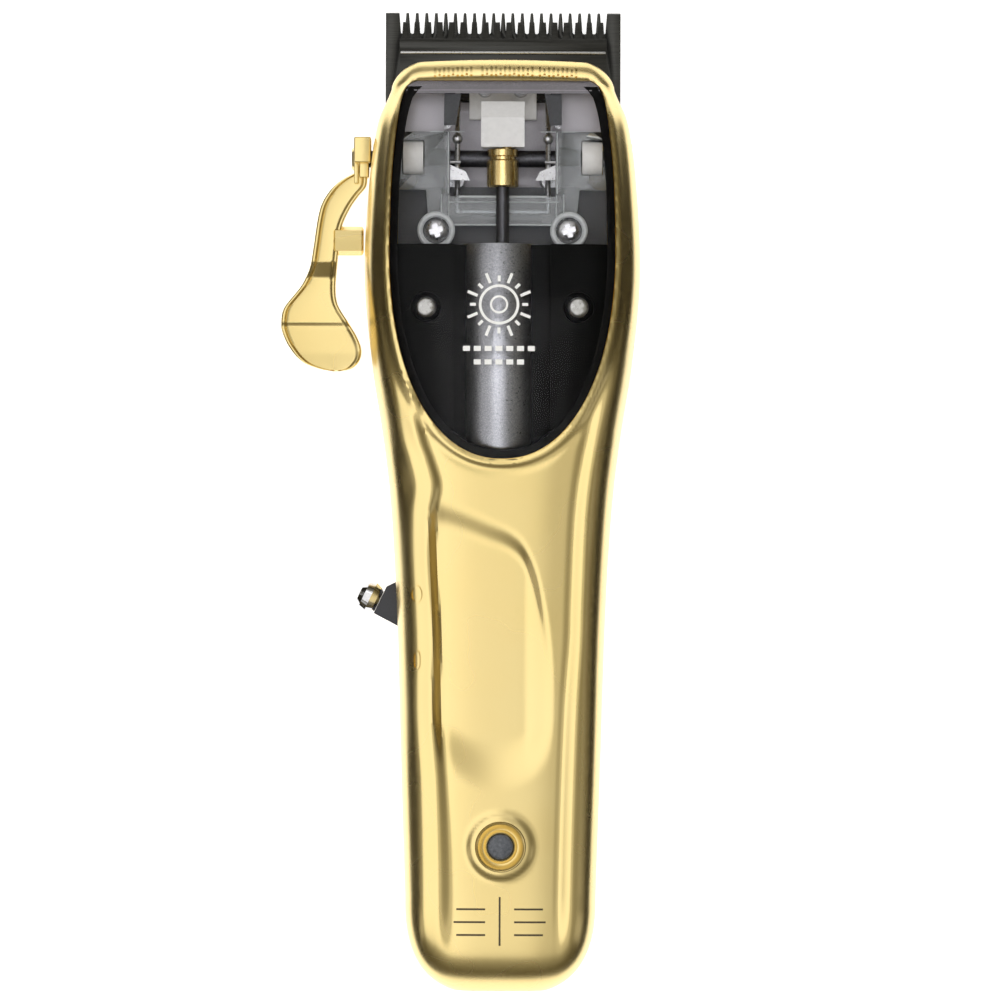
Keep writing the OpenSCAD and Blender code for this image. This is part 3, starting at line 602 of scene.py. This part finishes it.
def back_rings(inset, step, n, last, top):
    """Rings of the back half, from its flat up to top."""
    rings = []
    for s in body_rows(inset, step, last):
        a = split_deg(s)
        q = section(s, 180 + a, 360 - a, n)
        q[:, 2] = np.maximum(q[:, 2], inset)
        q[[0, -1], 2] = top
        rings.append(q)
    return rings


def box_mesh(name, xs, ys, zs):
    """A box between two values along each axis."""
    faces = [(0, 1, 3, 2), (4, 6, 7, 5), (0, 4, 5, 1), (2, 3, 7, 6), (0, 2, 6, 4), (1, 5, 7, 3)]
    return mesh_object(name, [(x, y, z) for x in xs for y in ys for z in zs], faces)


BACK_END = 70
back = ring_mesh("gold_back_housing", back_rings(0, 1.2, 90, BACK_END, SPLIT_Z - 0.03))
back = cut(back, ring_mesh("back_inner", back_rings(WALL, 4.0, 40, BACK_END - WALL, SPLIT_Z + 1)))
back = cut(back, box_mesh("mount_way", (-17.5, 17.5), (65, 75), (5.8, 14)))
well = [(0, -1), (2.7, -1), (2.7, 1.2), (1.6, 1.2), (1.6, 5), (0, 5)]
for x, y in ((10, 24), (-10, 24), (7, -66), (-7, -66)):
    back = cut(back, lathe("screw_well", well, "z", (x, y, 0)))
shade(back.data, 32)
finish_piece(back, gold, "housing", "gold_metal", "back_housing")

# ---- Window lid ----
# Smoked clear acrylic, injection moulded and polished, held by two screws in counterbored bosses. Lamps shine
# through it, so it throws no shadow on the works behind it.

# Its refraction is 1.12, not acrylic's 1.49, so that its shine doesn't grey the black behind it. A long faint
# ripple, as a moulding has, bends its reflections.
surface = {"Roughness": 0.02, "IOR": 1.12, "Transmission Weight": 1.0}
acrylic = grained("smoked_clear_acrylic", surface, 14.0, ("E4E4E6", "E9E9EB"), relief=(0.01, 0.3), detail=1.0)
LID_T, LID_GAP, LID_SUNK = 1.6, 0.12, 0.15
lid = slab("window_lid_moulding", WINDOW_TAIL + LID_GAP, WINDOW_FRONT - LID_GAP, LID_GAP,
           lambda x, y: front_z(x, y, LID_SUNK), lambda x, y: front_z(x, y, LID_SUNK + LID_T),
           rows=120, cols=72, edge_round=0.3)
LID_SCREW = (14.1, 38.1)  # across and along
SEAT_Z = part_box("lid_screws")[1].z / MM - 0.95
for side in (-1, 1):
    at = (side * LID_SCREW[0], LID_SCREW[1], 0)
    bore = [(0, 33), (1.2, 33), (1.2, SEAT_Z), (2.2, SEAT_Z), (2.2, 44), (0, 44)]
    lid = cut(lid, lathe("counterbore", bore, "z", at))
shade(lid.data, 32)
lid.visible_shadow = False
finish_piece(lid, acrylic, "housing", "clear_lid", "window_lid")

# A thin black foam seal lies on the ledge under the lid's rim. Its open cells, 0.3 mm across, kill all shine.
foam = grained("black_foam_seal", {"Roughness": 0.7, "Specular IOR Level": 0.1}, 0.3, ("0A0A0B", "121213"),
               relief=(0.02, 0.4))
seal = slab("lid_seal", WINDOW_TAIL + 0.15, WINDOW_FRONT - 1.3, 0.15, lambda x, y: front_z(x, y, 1.77),
            lambda x, y: front_z(x, y, 1.83))
seal = cut(seal, slab("inside", WINDOW_TAIL + 1.7, WINDOW_FRONT, 1.7, lambda x, y: front_z(x, y) + 2,
                      lambda x, y: front_z(x, y) - 5))
finish_piece(seal, foam, "housing", "black_plastic")

# ---- Marks on the shell ----
# Raised on and off marks beside the toggle and a row of raised ticks on the front edge, all cast and plated
# with the shell. A dark brown fill in the engraved grooves at the tail is painted shade.

def oval(cx, cy, half_x, half_y, n=40, power=2.0):
    """A closed loop of points, squarer as power rises."""
    t = np.linspace(0, 2 * math.pi, n, endpoint=False)
    c, v = np.cos(t), np.sin(t)
    e = 2 / power
    return np.stack([cx + half_x * np.sign(c) * np.abs(c) ** e, cy + half_y * np.sign(v) * np.abs(v) ** e], 1)


MARK_W, MARK_UP = 0.42, 0.3
marks = [strip("off_mark", oval(-16.0, -15.3, 0.95, 1.5), MARK_W, MARK_UP, 0.3, True, shell_z),
         strip("on_mark", oval(-15.9, -27.6, 0.55, 1.6, power=3.0), MARK_W, MARK_UP, 0.3, True, shell_z)]
finish_piece(join("switch_marks", marks), gold, "housing", "gold_metal")


def edge_z(x, y):
    """Height of the shell's front edge, where it curves back."""
    return shell_z(x, y + nose_arch(x, y))


# Three groups of ticks, every third one shorter
TICK_Y, TICK_STEP = 83.75, 0.86
ticks = []
for first, count in ((-12.9, 9), (-3.9, 12), (7.0, 9)):
    for k in range(count):
        x = first + TICK_STEP * k
        y = TICK_Y - float(nose_arch(x, 84.0))
        rise = 0.55 if k % 3 == 1 else 0.8
        ticks.append(strip("tick", [(x, y - rise), (x, y), (x, y + rise)], 0.42, 0.34, 0.3, False, edge_z))
finish_piece(join("edge_ticks", ticks), gold, "housing", "gold_metal")

# Dark brown fill set a little below the gold in the grooves, painted shade for their depth: a soft gloss,
# uneven at 0.4 mm
groove_shade = grained("groove_painted_shade", {"Roughness": 0.35}, 0.4, ("3A2E14", "4C3E1E"))
groove_shade_strips = [strip("fill", path, GROOVE_W, -0.1, 0.35, False, shell_z) for path in grooves]
finish_piece(join("tail_groove_shade", groove_shade_strips), groove_shade, "housing", "gold_metal")

# ---- Window print ----
# White emblem pad-printed on the lid's face: two plain rings with ticks round them, over two rows of dashes.
# The ink is 0.03 mm thick, opaque and matt, with a faint mottle from the print pad.

ink = grained("white_pad_ink", {"Roughness": 0.5}, 0.3, ("EDEDED", "F8F8F8"), relief=(0.005, 0.3))


def printed(name, path, width, closed=False):
    """A printed line on the lid's face."""
    return strip(name, path, width, 0.03, 0.02, closed, lambda x, y: front_z(x, y, LID_SUNK))


RING_X, RING_Y, RING_R, INNER_R = -0.6, 38.6, 3.5, 1.5
print_parts = [printed("ring", oval(RING_X, RING_Y, RING_R, RING_R, 48), 0.5, True),
               printed("inner_ring", oval(RING_X, RING_Y, INNER_R, INNER_R, 32), 0.4, True)]
RING_TICKS = 16
for k in range(RING_TICKS):
    a = 2 * math.pi * k / RING_TICKS
    reach = 6.3 if k % 2 else 5.4
    tick = [(RING_X + r * math.cos(a), RING_Y + r * math.sin(a)) for r in (4.3, reach)]
    print_parts.append(printed("tick", tick, 0.55))
DASH_STEP, DASH_HALF = 2.0, 0.65
for row_y, count in ((30.4, 7), (27.9, 5)):
    for k in range(count):
        x = RING_X + (k - (count - 1) / 2) * DASH_STEP
        print_parts.append(printed("dash", [(x - DASH_HALF, row_y), (x + DASH_HALF, row_y)], 0.95))
finish_piece(join("lid_print", print_parts), ink, "housing", "white_plastic")

# ---- Screws ----
# Turned steel pan heads, bright zinc plated, with cross recesses. Two hold the lid, from inside its
# counterbores, and two hold the carriage by its eyelets.

# Bright plated steel: pale, with small sharp highlights
steel = grained("bright_turned_steel", {"Roughness": 0.22, "Metallic": 1.0}, 0.5, ("B8B8BA", "CFCFD1"),
                roughness=(0.24, 0.36))


def soften(name, width_mm, segments=2):
    """A copy of a CAD node's mesh with its edges rounded."""
    mesh = frame["nodes"][name].data.copy()
    bm = bmesh.new()
    bm.from_mesh(mesh)
    bmesh.ops.remove_doubles(bm, verts=bm.verts, dist=2e-6)
    bmesh.ops.dissolve_limit(bm, angle_limit=math.radians(1), verts=bm.verts, edges=bm.edges)
    bm.to_mesh(mesh)
    bm.free()
    o = add_object("rounded_" + name, mesh)
    m = o.modifiers.new("round", "BEVEL")
    m.width, m.segments = width_mm * MM, segments
    m.limit_method, m.angle_limit = "ANGLE", math.radians(40)
    m.harden_normals = False
    apply_modifiers(o)
    shade(o.data, 45)
    return o


def pan_head(name, place, r, height, recess_r, turn):
    """A domed screw head with a cross recess, its seat at the given place, pointing up."""
    x, y, z = place
    dome = [(0, 0), (r * 0.94, 0), (r, 0.12 * height)]
    dome += [(r * math.cos(a), height * (0.15 + 0.85 * math.sin(a))) for a in np.radians([8, 22, 38, 54, 70])]
    head = lathe(name, dome + [(0, height)], "z", (x, y, z), 48)
    for k in range(2):
        a = turn + k * math.pi / 2
        c, v = math.cos(a), math.sin(a)
        w, h = 0.17 * r + 0.1, height
        corners = [(recess_r, w), (-recess_r, w), (-recess_r, -w), (recess_r, -w)]
        pts = [(x + p * c - q * v, y + p * v + q * c, z + height + dz)
               for dz in (-0.55 * h, 0.4) for p, q in corners]
        head = cut(head, mesh_object("cross", pts, prism_faces(4)))
    shade(head.data, 40)
    return head


def pair_of_heads(name, node, r, height, recess_r, turn):
    """Detailed heads for a node that holds two screws side by side along X."""
    low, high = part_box(node)
    y, z = (low.y + high.y) / 2 / MM, high.z / MM - height
    x = high.x / MM - r
    heads = [pan_head(name, (side * x, y, z), r, height, recess_r, turn) for side in (-1, 1)]
    foot, shank_r = low.z / MM, 0.45 * r
    shank = [(0, foot), (shank_r, foot), (shank_r, z + 0.1), (0, z + 0.1)]
    shanks = [lathe("shank", shank, "z", (side * x, y, 0), 24) for side in (-1, 1)]
    return finish_piece(join(name, heads + shanks), steel, "housing", "screw_steel", node)


pair_of_heads("lid_screw_heads", "lid_screws", 1.9, 0.9, 1.15, 0.6)
pair_of_heads("eyelet_screw_heads", "carriage_screws", 2.3, 1.0, 1.3, 0.3)

# ---- Motor cover ----
# Black ABS moulding under the lid's tail half: two plain side panels beside a sunk middle, where the motor's
# painted barrel shows. Two posts on it take the lid's screws.

# Black ABS, drawn far darker than the paddle's black as painted shade under the lid: nearly black,
# with almost no shine. Its texture is 0.4 mm.
black = grained("black_abs_painted_shade", {"Roughness": 0.32, "Specular IOR Level": 0.04}, 0.4,
                ("030304", "060607"), relief=(0.01, 0.3))
COVER_FRONT = 50.0
BARREL_HALF, BARREL_X, BARREL_R = 9.0, -0.7, 7.4  # half the sunk middle's width, and the barrel in it
panels = []
for side in (-1, 1):
    panel = slab("cover_side", 11.3, COVER_FRONT, 1.3, lambda x, y: front_z(x, y, 2.3),
                 lambda x, y: front_z(x, y, 3.4))
    panel = cut(panel, box_mesh("keep", (side * BARREL_HALF, side * 30), (5, 55), (20, 50)), "INTERSECT")
    post_way = [(0, 30), (2.9, 30), (2.9, 44), (0, 44)]
    panels.append(cut(panel, lathe("post_way", post_way, "z", (side * LID_SCREW[0], LID_SCREW[1], 0))))
finish_piece(join("cover_panels", panels), black, "housing", "black_plastic", "motor_cover")

# The posts that the lid's screws enter
post = [(0, 30), (2.7, 30), (2.7, SEAT_Z - 1.5), (2.2, SEAT_Z - 1.2), (0, SEAT_Z - 1.2)]
posts = [lathe("post", post, "z", (side * LID_SCREW[0], LID_SCREW[1], 0)) for side in (-1, 1)]
finish_piece(join("lid_posts", posts), black, "housing", "black_plastic")

# A sheet of the same black, darkened as painted shade, closes the middle off behind the barrel
sheet = slab("cover_back_sheet", 11.6, COVER_FRONT, 1.9, lambda x, y: front_z(x, y) - 6.2,
             lambda x, y: front_z(x, y) - 6.8)
finish_piece(sheet, black, "housing", "black_plastic")

# Hammered paint on the barrel mirrors a lamp as one soft grey streak with a fine broken texture, and is black
# where it meets none, as a metal is. The 0.35 mm grain is true size.
paint = grained("hammered_black_paint", {"Roughness": 0.3, "Metallic": 1.0}, 0.35, ("8A8B90", "BEBFC4"),
                (0.24, 0.42), (0.05, 0.5), detail=3.0)
barrel = []
for y in np.linspace(10.9, 50.2, 60):
    edge = float(window_half(y, 1.9))
    x = np.linspace(max(-edge, BARREL_X - BARREL_R), min(edge, BARREL_X + BARREL_R), 44)
    fall = BARREL_R - np.sqrt(np.maximum(BARREL_R**2 - (x - BARREL_X) ** 2, 0))
    top = front_z(x * 0, y) - 3.1 - fall
    over = np.stack([x, np.full(len(x), y), top], 1)
    barrel.append(np.concatenate([over, (over - [0, 0, 1.2])[::-1]]))
finish_piece(ring_mesh("motor_barrel", barrel, (1.0,)), paint, "housing", "motor_steel")

# ---- Chassis and blade mount ----
# The chassis is a light grey tray moulded in glass-filled nylon, which carries the motor. The blade mount is
# a bead-blasted zinc block, which the blades screw to. Plates, a ledge and two stops line the works.

# Glass-filled nylon: matt, faintly mottled where fibres show
grey = grained("light_grey_nylon", {"Roughness": 0.55}, 0.5, ("858288", "97949A"), relief=(0.01, 0.3))
# Blasted zinc: an even pale grey that hardly mirrors
zinc = grained("blasted_zinc", {"Roughness": 0.42, "Metallic": 0.35}, 0.2, ("A6A3A8", "BAB7BC"),
               relief=(0.01, 0.4))
finish_piece(soften("blade_mount", 0.3), zinc, "housing", "zinc", "blade_mount")

# Plates beside the works, pressed from zinc sheet
plates = []
for side in (-1, 1):
    outline = [(11.2, 72.4), (19.2, 72.4), (18.6, 79.6), (11.2, 79.6)]
    pts = [(side * x, y, z) for z in (11.4, 12.2) for x, y in outline]
    plates.append(mesh_object("side_plate", pts, prism_faces(4)))
finish_piece(join("side_plates", plates), zinc, "housing", "zinc")

# A dark grey ledge crosses under the carriage's tail, and two dark stops stand beside the yoke, in the same
# nylon drawn darker
dark_grey = grained("dark_grey_nylon", {"Roughness": 0.5}, 0.5, ("46474A", "525356"), relief=(0.01, 0.3))
stops = [slab("rear_ledge", 49.0, 61.8, 1.0, lambda x, y: 13.0 + 0 * x, lambda x, y: 12.2 + 0 * x, 12)]
for side in (-1, 1):
    corners = [(side * x, y) for x, y in ((7.9, 79.0), (11.1, 79.0), (11.1, 72.8), (8.9, 72.8))]
    pts = [(x, y, float(front_z(np.float64(x), np.float64(y))) - d) for d in (2.8, 2.2) for x, y in corners]
    stops.append(mesh_object("stop", pts, prism_faces(4)))
finish_piece(join("ledge_and_stops", stops), dark_grey, "housing", "grey_plastic")

# A grey band under the lid's front edge, and a thin pale zinc strip where it ends: a painted highlight for the
# band's bright edge
front_rib = slab("lid_front_rib", 79.1, 81.65, 0.2, lambda x, y: front_z(x, y, 1.79),
                 lambda x, y: front_z(x, y, 1.84), 8)
finish_piece(front_rib, grey, "housing", "clear_lid")
across = [(x, 79.75) for x in np.linspace(-18.2, 18.2, 24)]
line = strip("lid_front_painted_highlight", across, 0.22, -0.01, 0.05, False, lambda x, y: front_z(x, y, 1.75))
finish_piece(line, zinc, "housing", "clear_lid")

# ---- Blade set ----
# Fixed blade and cutter, ground from steel and coated black. Fine grinding lines run across them, and the
# cutter has a bright rib. The lines are about 0.02 mm apart, and are drawn at 0.25 mm so that they show.

blackened = grained("black_coated_steel", {"Roughness": 0.35, "Metallic": 0.7}, 0.25, ("3A3A3A", "4A4A48"),
                    (0.28, 0.42), (0.006, 0.3), stretch=(0.05, 1, 1))
finish_piece(soften("fixed_blade", 0.12, 1), blackened, "housing", "black_blade", "fixed_blade")
finish_piece(soften("cutter_blade", 0.12, 1), blackened, "cutter", "black_blade", "cutter_blade")
rib_profile = [(0, -19.6), (0.22, -19.6), (0.28, -19.4), (0.28, 19.4), (0.22, 19.6), (0, 19.6)]
rib = lathe("cutter_rib", rib_profile, "x", (0, 87.8, 9.35), 20)
finish_piece(rib, steel, "cutter", "black_blade")

# ---- Drive: eccentric, yoke, carriage and springs ----
# A turned brass eccentric on the motor's shaft works a white acetal yoke that pushes the cutter. The clear
# carriage holds the cutter down with steel springs.

# Turned brass: warm and bright. Its fine tool marks are drawn 0.3 mm apart, coarser than real.
brass = grained("turned_brass", {"Roughness": 0.25, "Metallic": 1.0}, 0.3, ("D9B878", "F0DA9E"),
                roughness=(0.18, 0.32), stretch=(1, 0.08, 1))
SHAFT_Z, THROW = 19.5, 0.8  # the motor's axis, and how far the pin stands from it
hub_profile = [(0, 0), (2.7, 0), (3.0, 0.3), (3.0, 4.9), (2.7, 5.2), (2.5, 5.2), (2.5, 5.7), (2.9, 5.9),
               (2.9, 7.0), (2.6, 7.2), (0, 7.2)]
hub = lathe("eccentric_hub", hub_profile, "y", (0, 61.4, SHAFT_Z), 12, 15)
pin_profile = [(0, 0), (0.9, 0), (0.9, 6.0), (0.75, 6.2), (0, 6.2)]
pin = lathe("pin", pin_profile, "y", (THROW, 67.6, SHAFT_Z), 32)
finish_piece(join("brass_eccentric", [hub, pin]), brass, "rotor", "brass", "eccentric")

# Undyed acetal: milky white and faintly glossy. A thin sloping hood covers the yoke.
white = grained("natural_acetal", {"Roughness": 0.35}, 0.8, ("EAE9E7", "F6F5F3"), relief=(0.01, 0.2))
HOOD = [(68.9, 21.5), (74.4, 21.5), (77.6, 19.0), (77.6, 19.5), (74.4, 22.0), (68.9, 22.0)]
pts = [(x, y, z) for x in (-4.1, 4.1) for y, z in HOOD]
hood = mesh_object("hood", pts, prism_faces(len(HOOD)))
finish_piece(join("yoke", [soften("drive_yoke", 0.35), hood]), white, "cutter", "white_plastic", "drive_yoke")
finish_piece(soften("shaft_cams", 0.3), white, "lever", "white_plastic", "shaft_cams")

# Clear polycarbonate: the works show through it, slightly greyed
surface = {"Roughness": 0.08, "IOR": 1.45, "Transmission Weight": 0.88}
clear = grained("clear_polycarbonate", surface, 2.0, ("BEC2C4", "D0D4D6"), relief=(0.02, 0.3))
carriage = soften("carriage", 0.3)
carriage.visible_shadow = False
finish_piece(carriage, clear, "carriage", "clear_frame", "carriage")


def edge_bar(a, b, r):
    """A thin six-sided bar between two points."""
    a, b = Vector(a), Vector(b)
    along_axis = (b - a).normalized()
    u = along_axis.orthogonal().normalized() * r
    v = along_axis.cross(u)
    ring = [u * math.cos(t) + v * math.sin(t) for t in np.linspace(0, 2 * math.pi, 6, endpoint=False)]
    pts = [tuple(p + q) for p in (a, b) for q in ring]
    return mesh_object("edge", pts, prism_faces(6))


# The carriage's edges are thin opaque pale bars: painted highlights where its clear edges catch the light
Z_TOP = 17.75
edges = [edge_bar((-8.4, 59.7, Z_TOP), (8.4, 59.7, Z_TOP), 0.26),
         edge_bar((-10.4, 58.7, Z_TOP), (10.6, 58.7, Z_TOP), 0.12),
         edge_bar((-10.2, 54.4, Z_TOP), (10.2, 54.4, Z_TOP), 0.16)]
for side in (-1, 1):
    for x in (10.2, 11.6):
        edges.append(edge_bar((side * x, 54.2, Z_TOP), (side * x, 60.2, Z_TOP), 0.13))
    edges.append(edge_bar((side * 10.3, 60.2, 19.1), (side * 10.3, 71.8, 19.1), 0.13))
    edges.append(edge_bar((side * 7.2, 72.0, Z_TOP), (side * 13.8, 72.0, Z_TOP), 0.12))
# Pale opaque grey with no transmission: its colour paints the highlight on the clear edges
pale_edge_highlight = grained("clear_edge_painted_highlight", {"Roughness": 0.2, "Specular IOR Level": 0.8}, 0.6,
                  ("B4B8BA", "D0D4D6"))
finish_piece(join("carriage_edge_highlights", edges), pale_edge_highlight, "carriage", "clear_frame")

# Collars round the carriage's screws, in the same pale opaque material: painted highlights on the clear
# eyelets' rims
low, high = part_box("carriage_screws")
x, y = high.x / MM - 2.3, (low.y + high.y) / 2 / MM
collar = [(2.5, 0), (3.6, 0), (3.6, 0.9), (3.3, 1.2), (2.8, 1.2), (2.5, 0.9), (2.5, 0)]
collars = [lathe("collar", collar, "z", (side * x, y, 17.62), 40) for side in (-1, 1)]
finish_piece(join("eyelet_collars", collars), pale_edge_highlight, "housing", "clear_frame")

# The spring's wire ends in a ball, an arm and a flat leaf on each side
arc = [(math.cos(a), math.sin(a)) for a in np.linspace(-1.3, 1.3, 12)]
spring_parts = [soften("tension_spring", 0.05, 1)]
for side in (-1, 1):
    ball = [(0.02, -1.0)] + arc + [(0.02, 1.0)]
    spring_parts.append(lathe("ball", ball, "y", (side * 8.6, 70.6, 18.3), 32))
    spring_parts.append(edge_bar((side * 8.6, 69.8, 18.3), (side * 8.6, 66.4, 18.0), 0.32))
    spring_parts.append(edge_bar((side * 10.0, 66.2, 18.0), (side * 8.0, 66.2, 18.0), 0.3))
    leaf = [(10.2, 65.8, 17.9), (10.0, 62.9, 18.0), (6.2, 62.7, 18.5), (7.0, 64.4, 18.4)]
    pts = [(side * x, y, z + thick) for thick in (0, 0.35) for x, y, z in leaf]
    spring_parts.append(mesh_object("leaf", pts, prism_faces(4)))
finish_piece(join("carriage_spring", spring_parts), steel, "carriage", "spring_steel", "tension_spring")

# ---- Taper lever ----
# Die-cast arm with the shell's plating: a flat strip with a thin raised rim, bent down to a thumb pad of two
# slopes that meet in a crease. A spring detent sits on its inner side.

# Outer and inner edge of the arm across the body, and its height, along Y
ARM_OUTER = [(26.6, -32.2), (26.9, -34.2), (28.2, -37.6), (31, -40.2), (34, -41.6), (36.2, -41.8),
             (38.5, -41.3), (41, -39.4), (43, -37.9), (46, -36.6), (50, -35.9), (55.5, -35.1),
             (58.5, -34.3), (61.2, -32.6), (63, -30.6), (64.2, -28.4)]
ARM_INNER = [(26.6, -30.6), (26.9, -28.8), (28.4, -27.1), (30.5, -26.6), (33, -27.4), (36, -29.2),
             (39, -31.0), (41.5, -31.5), (45, -31.4), (50, -31.0), (54.2, -30.4), (57.6, -28.9),
             (60, -27.3), (61.8, -25.9), (64.2, -25.7)]
ARM_Z = [(26.6, 18.0), (30, 19.2), (34.9, 20.4), (35.8, 19.75), (41, 18.9), (44.2, 18.4), (47.6, 16.2),
         (53, 16.2), (64.2, 15.2)]
ARM_HALF_T, ARM_RIM = 1.15, 0.3


def arm_edge(keys, y):
    """The arm's edge at y: straight at its blunt tip, a smooth curve from there on."""
    return float(np.interp(y, *zip(*keys))) if y < 27 else float(along(keys, np.float64(y)))


arm_rows = []
for y in np.concatenate([np.linspace(26.6, 28.5, 9), np.linspace(28.9, 64.2, 86)]):
    x0, x1 = arm_edge(ARM_OUTER, y), arm_edge(ARM_INNER, y)
    z = float(np.interp(y, *zip(*ARM_Z)))
    span = max(x1 - x0, 0.4)
    near = np.array([0, 0.12, 0.32, 0.62, 0.9, 1.15, 1.5])
    up = np.array([0.55, 0.9, 1.0, 1.0, 0.86, 0.74, 0.72]) * (ARM_HALF_T + ARM_RIM) * min(1, span / 2.5)
    near = near * min(1, span / 3.4)
    xs = np.concatenate([x0 + near, [(x0 + x1) / 2], (x0 + span - near)[::-1]])
    tops = np.concatenate([up, [up[-1]], up[::-1]])
    over = np.stack([xs, np.full(len(xs), y), z + tops], 1)
    under = np.stack([[x0 + span - 0.3, x0 + 0.3], [y, y], [z - ARM_HALF_T] * 2], 1)
    low = np.stack([[x0 + span, x0], [y, y], [z - ARM_HALF_T * 0.5] * 2], 1)
    arm_rows.append(np.concatenate([over, low[:1], under, low[1:]]))
arm = ring_mesh("arm", arm_rows, (0.8, 0.0))


def block(name, low, high, round_mm):
    """A box with rounded edges."""
    o = box_mesh(name, *zip(low, high))
    m = o.modifiers.new("round", "BEVEL")
    m.width, m.segments = round_mm * MM, 3
    apply_modifiers(o)
    return o


hub_profile = [(0, -27.7), (2.9, -27.7), (3.1, -27.5), (3.1, -25.6), (2.9, -25.4), (0, -25.4)]
hub = lathe("hub", hub_profile, "x", (0, LEVER_Y, LEVER_Z), 64)
hub_block = block("hub_block", (-28.2, 66.2, 11.6), (-25.0, 71.1, 18.4), 0.3)
hub_step = block("hub_step", (-27.2, 63.4, 13.0), (-25.4, 66.4, 17.4), 0.25)
hub_plate = block("hub_plate", (-28.2, 62.3, 12.4), (-27.3, 66.4, 17.0), 0.2)
lever = join("taper_lever_arm", [arm, hub, hub_block, hub_step, hub_plate])
finish_piece(lever, gold, "lever", "gold_metal", "lever_arm")
# The detent's eight-sided barrel, which its plunger slides in
DETENT_Y, DETENT_Z = 51.4, 16
low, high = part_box("detent_barrel")
closed_end, mouth = low.x / MM, (high.x + 0.0009) / MM
barrel_profile = [(0, closed_end), (2.4, closed_end), (2.75, closed_end + 0.3), (2.75, mouth - 0.2),
                  (2.55, mouth), (1.6, mouth), (1.6, closed_end + 1), (0, closed_end + 1)]
detent = lathe("detent_housing", barrel_profile, "x", (0, DETENT_Y, DETENT_Z), 8, 20)
finish_piece(detent, gold, "lever", "gold_metal", "detent_barrel")
finish_piece(soften("detent_plunger", 0.12), gold, "plunger", "gold_metal", "detent_plunger")
finish_piece(soften("lever_screw", 0.1), gold, "lever", "gold_metal", "lever_screw")

# ---- Power toggle ----
# Black moulded paddle that rocks in its slot, with a chromed knob screwed into its end. The knob keeps its
# CAD shape and gets its chrome further on.

# Chrome mirrors the room and the lamps sharply
chrome = grained("polished_chrome", {"Roughness": 0.08, "Metallic": 1.0}, 0.6, ("D0D0D4", "E4E4E8"))
# Spark-eroded ABS: satin black
satin_black = grained("satin_black_abs", {"Roughness": 0.4}, 0.3, ("24252E", "30313A"), relief=(0.01, 0.3))
finish_piece(soften("toggle_paddle", 0.3), satin_black, "toggle", "black_plastic", "toggle_paddle")

# ---- Light ----
# A machined bezel, plated like the shell and pressed into its boss, holds a domed light pipe of smoky
# acrylic.

# The light pipe is unlit: a dull blue-grey that lets a little light in
surface = {"Roughness": 0.15, "IOR": 1.45, "Transmission Weight": 0.3}
frost = grained("smoky_light_pipe", surface, 0.5, ("4C5058", "7A7E88"))
low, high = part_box("indicator_bezel")
foot, top = low.z / MM, high.z / MM
rings = [(2.45, foot), (2.45, top - 0.9), (2.65, top - 0.7), (2.9, top - 0.85), (3.2, top - 1.35),
         (3.5, top - 1.3), (4.1, top - 0.55), (4.4, top - 0.05), (4.55, top), (4.65, top - 0.15),
         (4.65, foot), (2.45, foot)]
bezel = lathe("indicator_bezel_ring", rings, "z", (0, LIGHT_Y, 0), 72, 50)
finish_piece(bezel, gold, "housing", "gold_metal", "indicator_bezel")
LENS_R, brow = 2.38, top - 1.1
dome = [(0, foot + 0.5), (LENS_R, foot + 0.5), (LENS_R, brow)]
dome += [(LENS_R * math.cos(a), brow + 0.6 * math.sin(a)) for a in np.radians([18, 36, 54, 72])]
lens = lathe("light_lens", dome + [(0, top - 0.5)], "z", (0, LIGHT_Y, 0), 48)
finish_piece(lens, frost, "housing", "lens", "indicator_lens")

# ---- Inner works that keep their CAD shape ----
# Motor, cell, board, switch, inlet and shafts, each in its own finish. They are plain bought-in or moulded
# parts, and the closed shell hides most of them.

# Lacquered copper wire: warm and glossy, streaked along the windings
copper = grained("enamelled_copper", {"Roughness": 0.3, "Metallic": 1.0}, 0.4, ("9A5A2C", "B87038"),
                 stretch=(1, 0.1, 1))
# Solder resist: a deep glossy green, cloudy over the tracks
green = grained("green_solder_resist", {"Roughness": 0.35}, 0.8, ("0C4A28", "125832"))
# Shrink sleeve: a smooth, slightly uneven blue
blue = grained("shrunk_cell_sleeve", {"Roughness": 0.3}, 3.0, ("2C5A88", "346698"))

finishes = {"gold_metal": gold, "clear_lid": acrylic, "lens": frost, "screw_steel": steel,
            "spring_steel": steel, "grey_plastic": grey, "black_plastic": satin_black, "motor_steel": paint,
            "copper": copper, "brass": brass, "cell_sleeve": blue, "board": green, "white_plastic": white,
            "chrome": chrome, "zinc": zinc, "black_blade": blackened, "clear_frame": clear}
# The shafts have a black oxide finish, dull grey where the light meets it
oxide = grained("black_oxide_steel", {"Roughness": 0.42, "Metallic": 1.0}, 0.4, ("48484B", "5C5C60"))
for part in frame["record"]["subparts"]:
    node = frame["nodes"][part["node"]]
    shaft = part["node"] in ("lever_shaft", "motor_shaft")
    node.data.materials.clear()
    node.data.materials.append(oxide if shaft else finishes[part["material_slot"]])
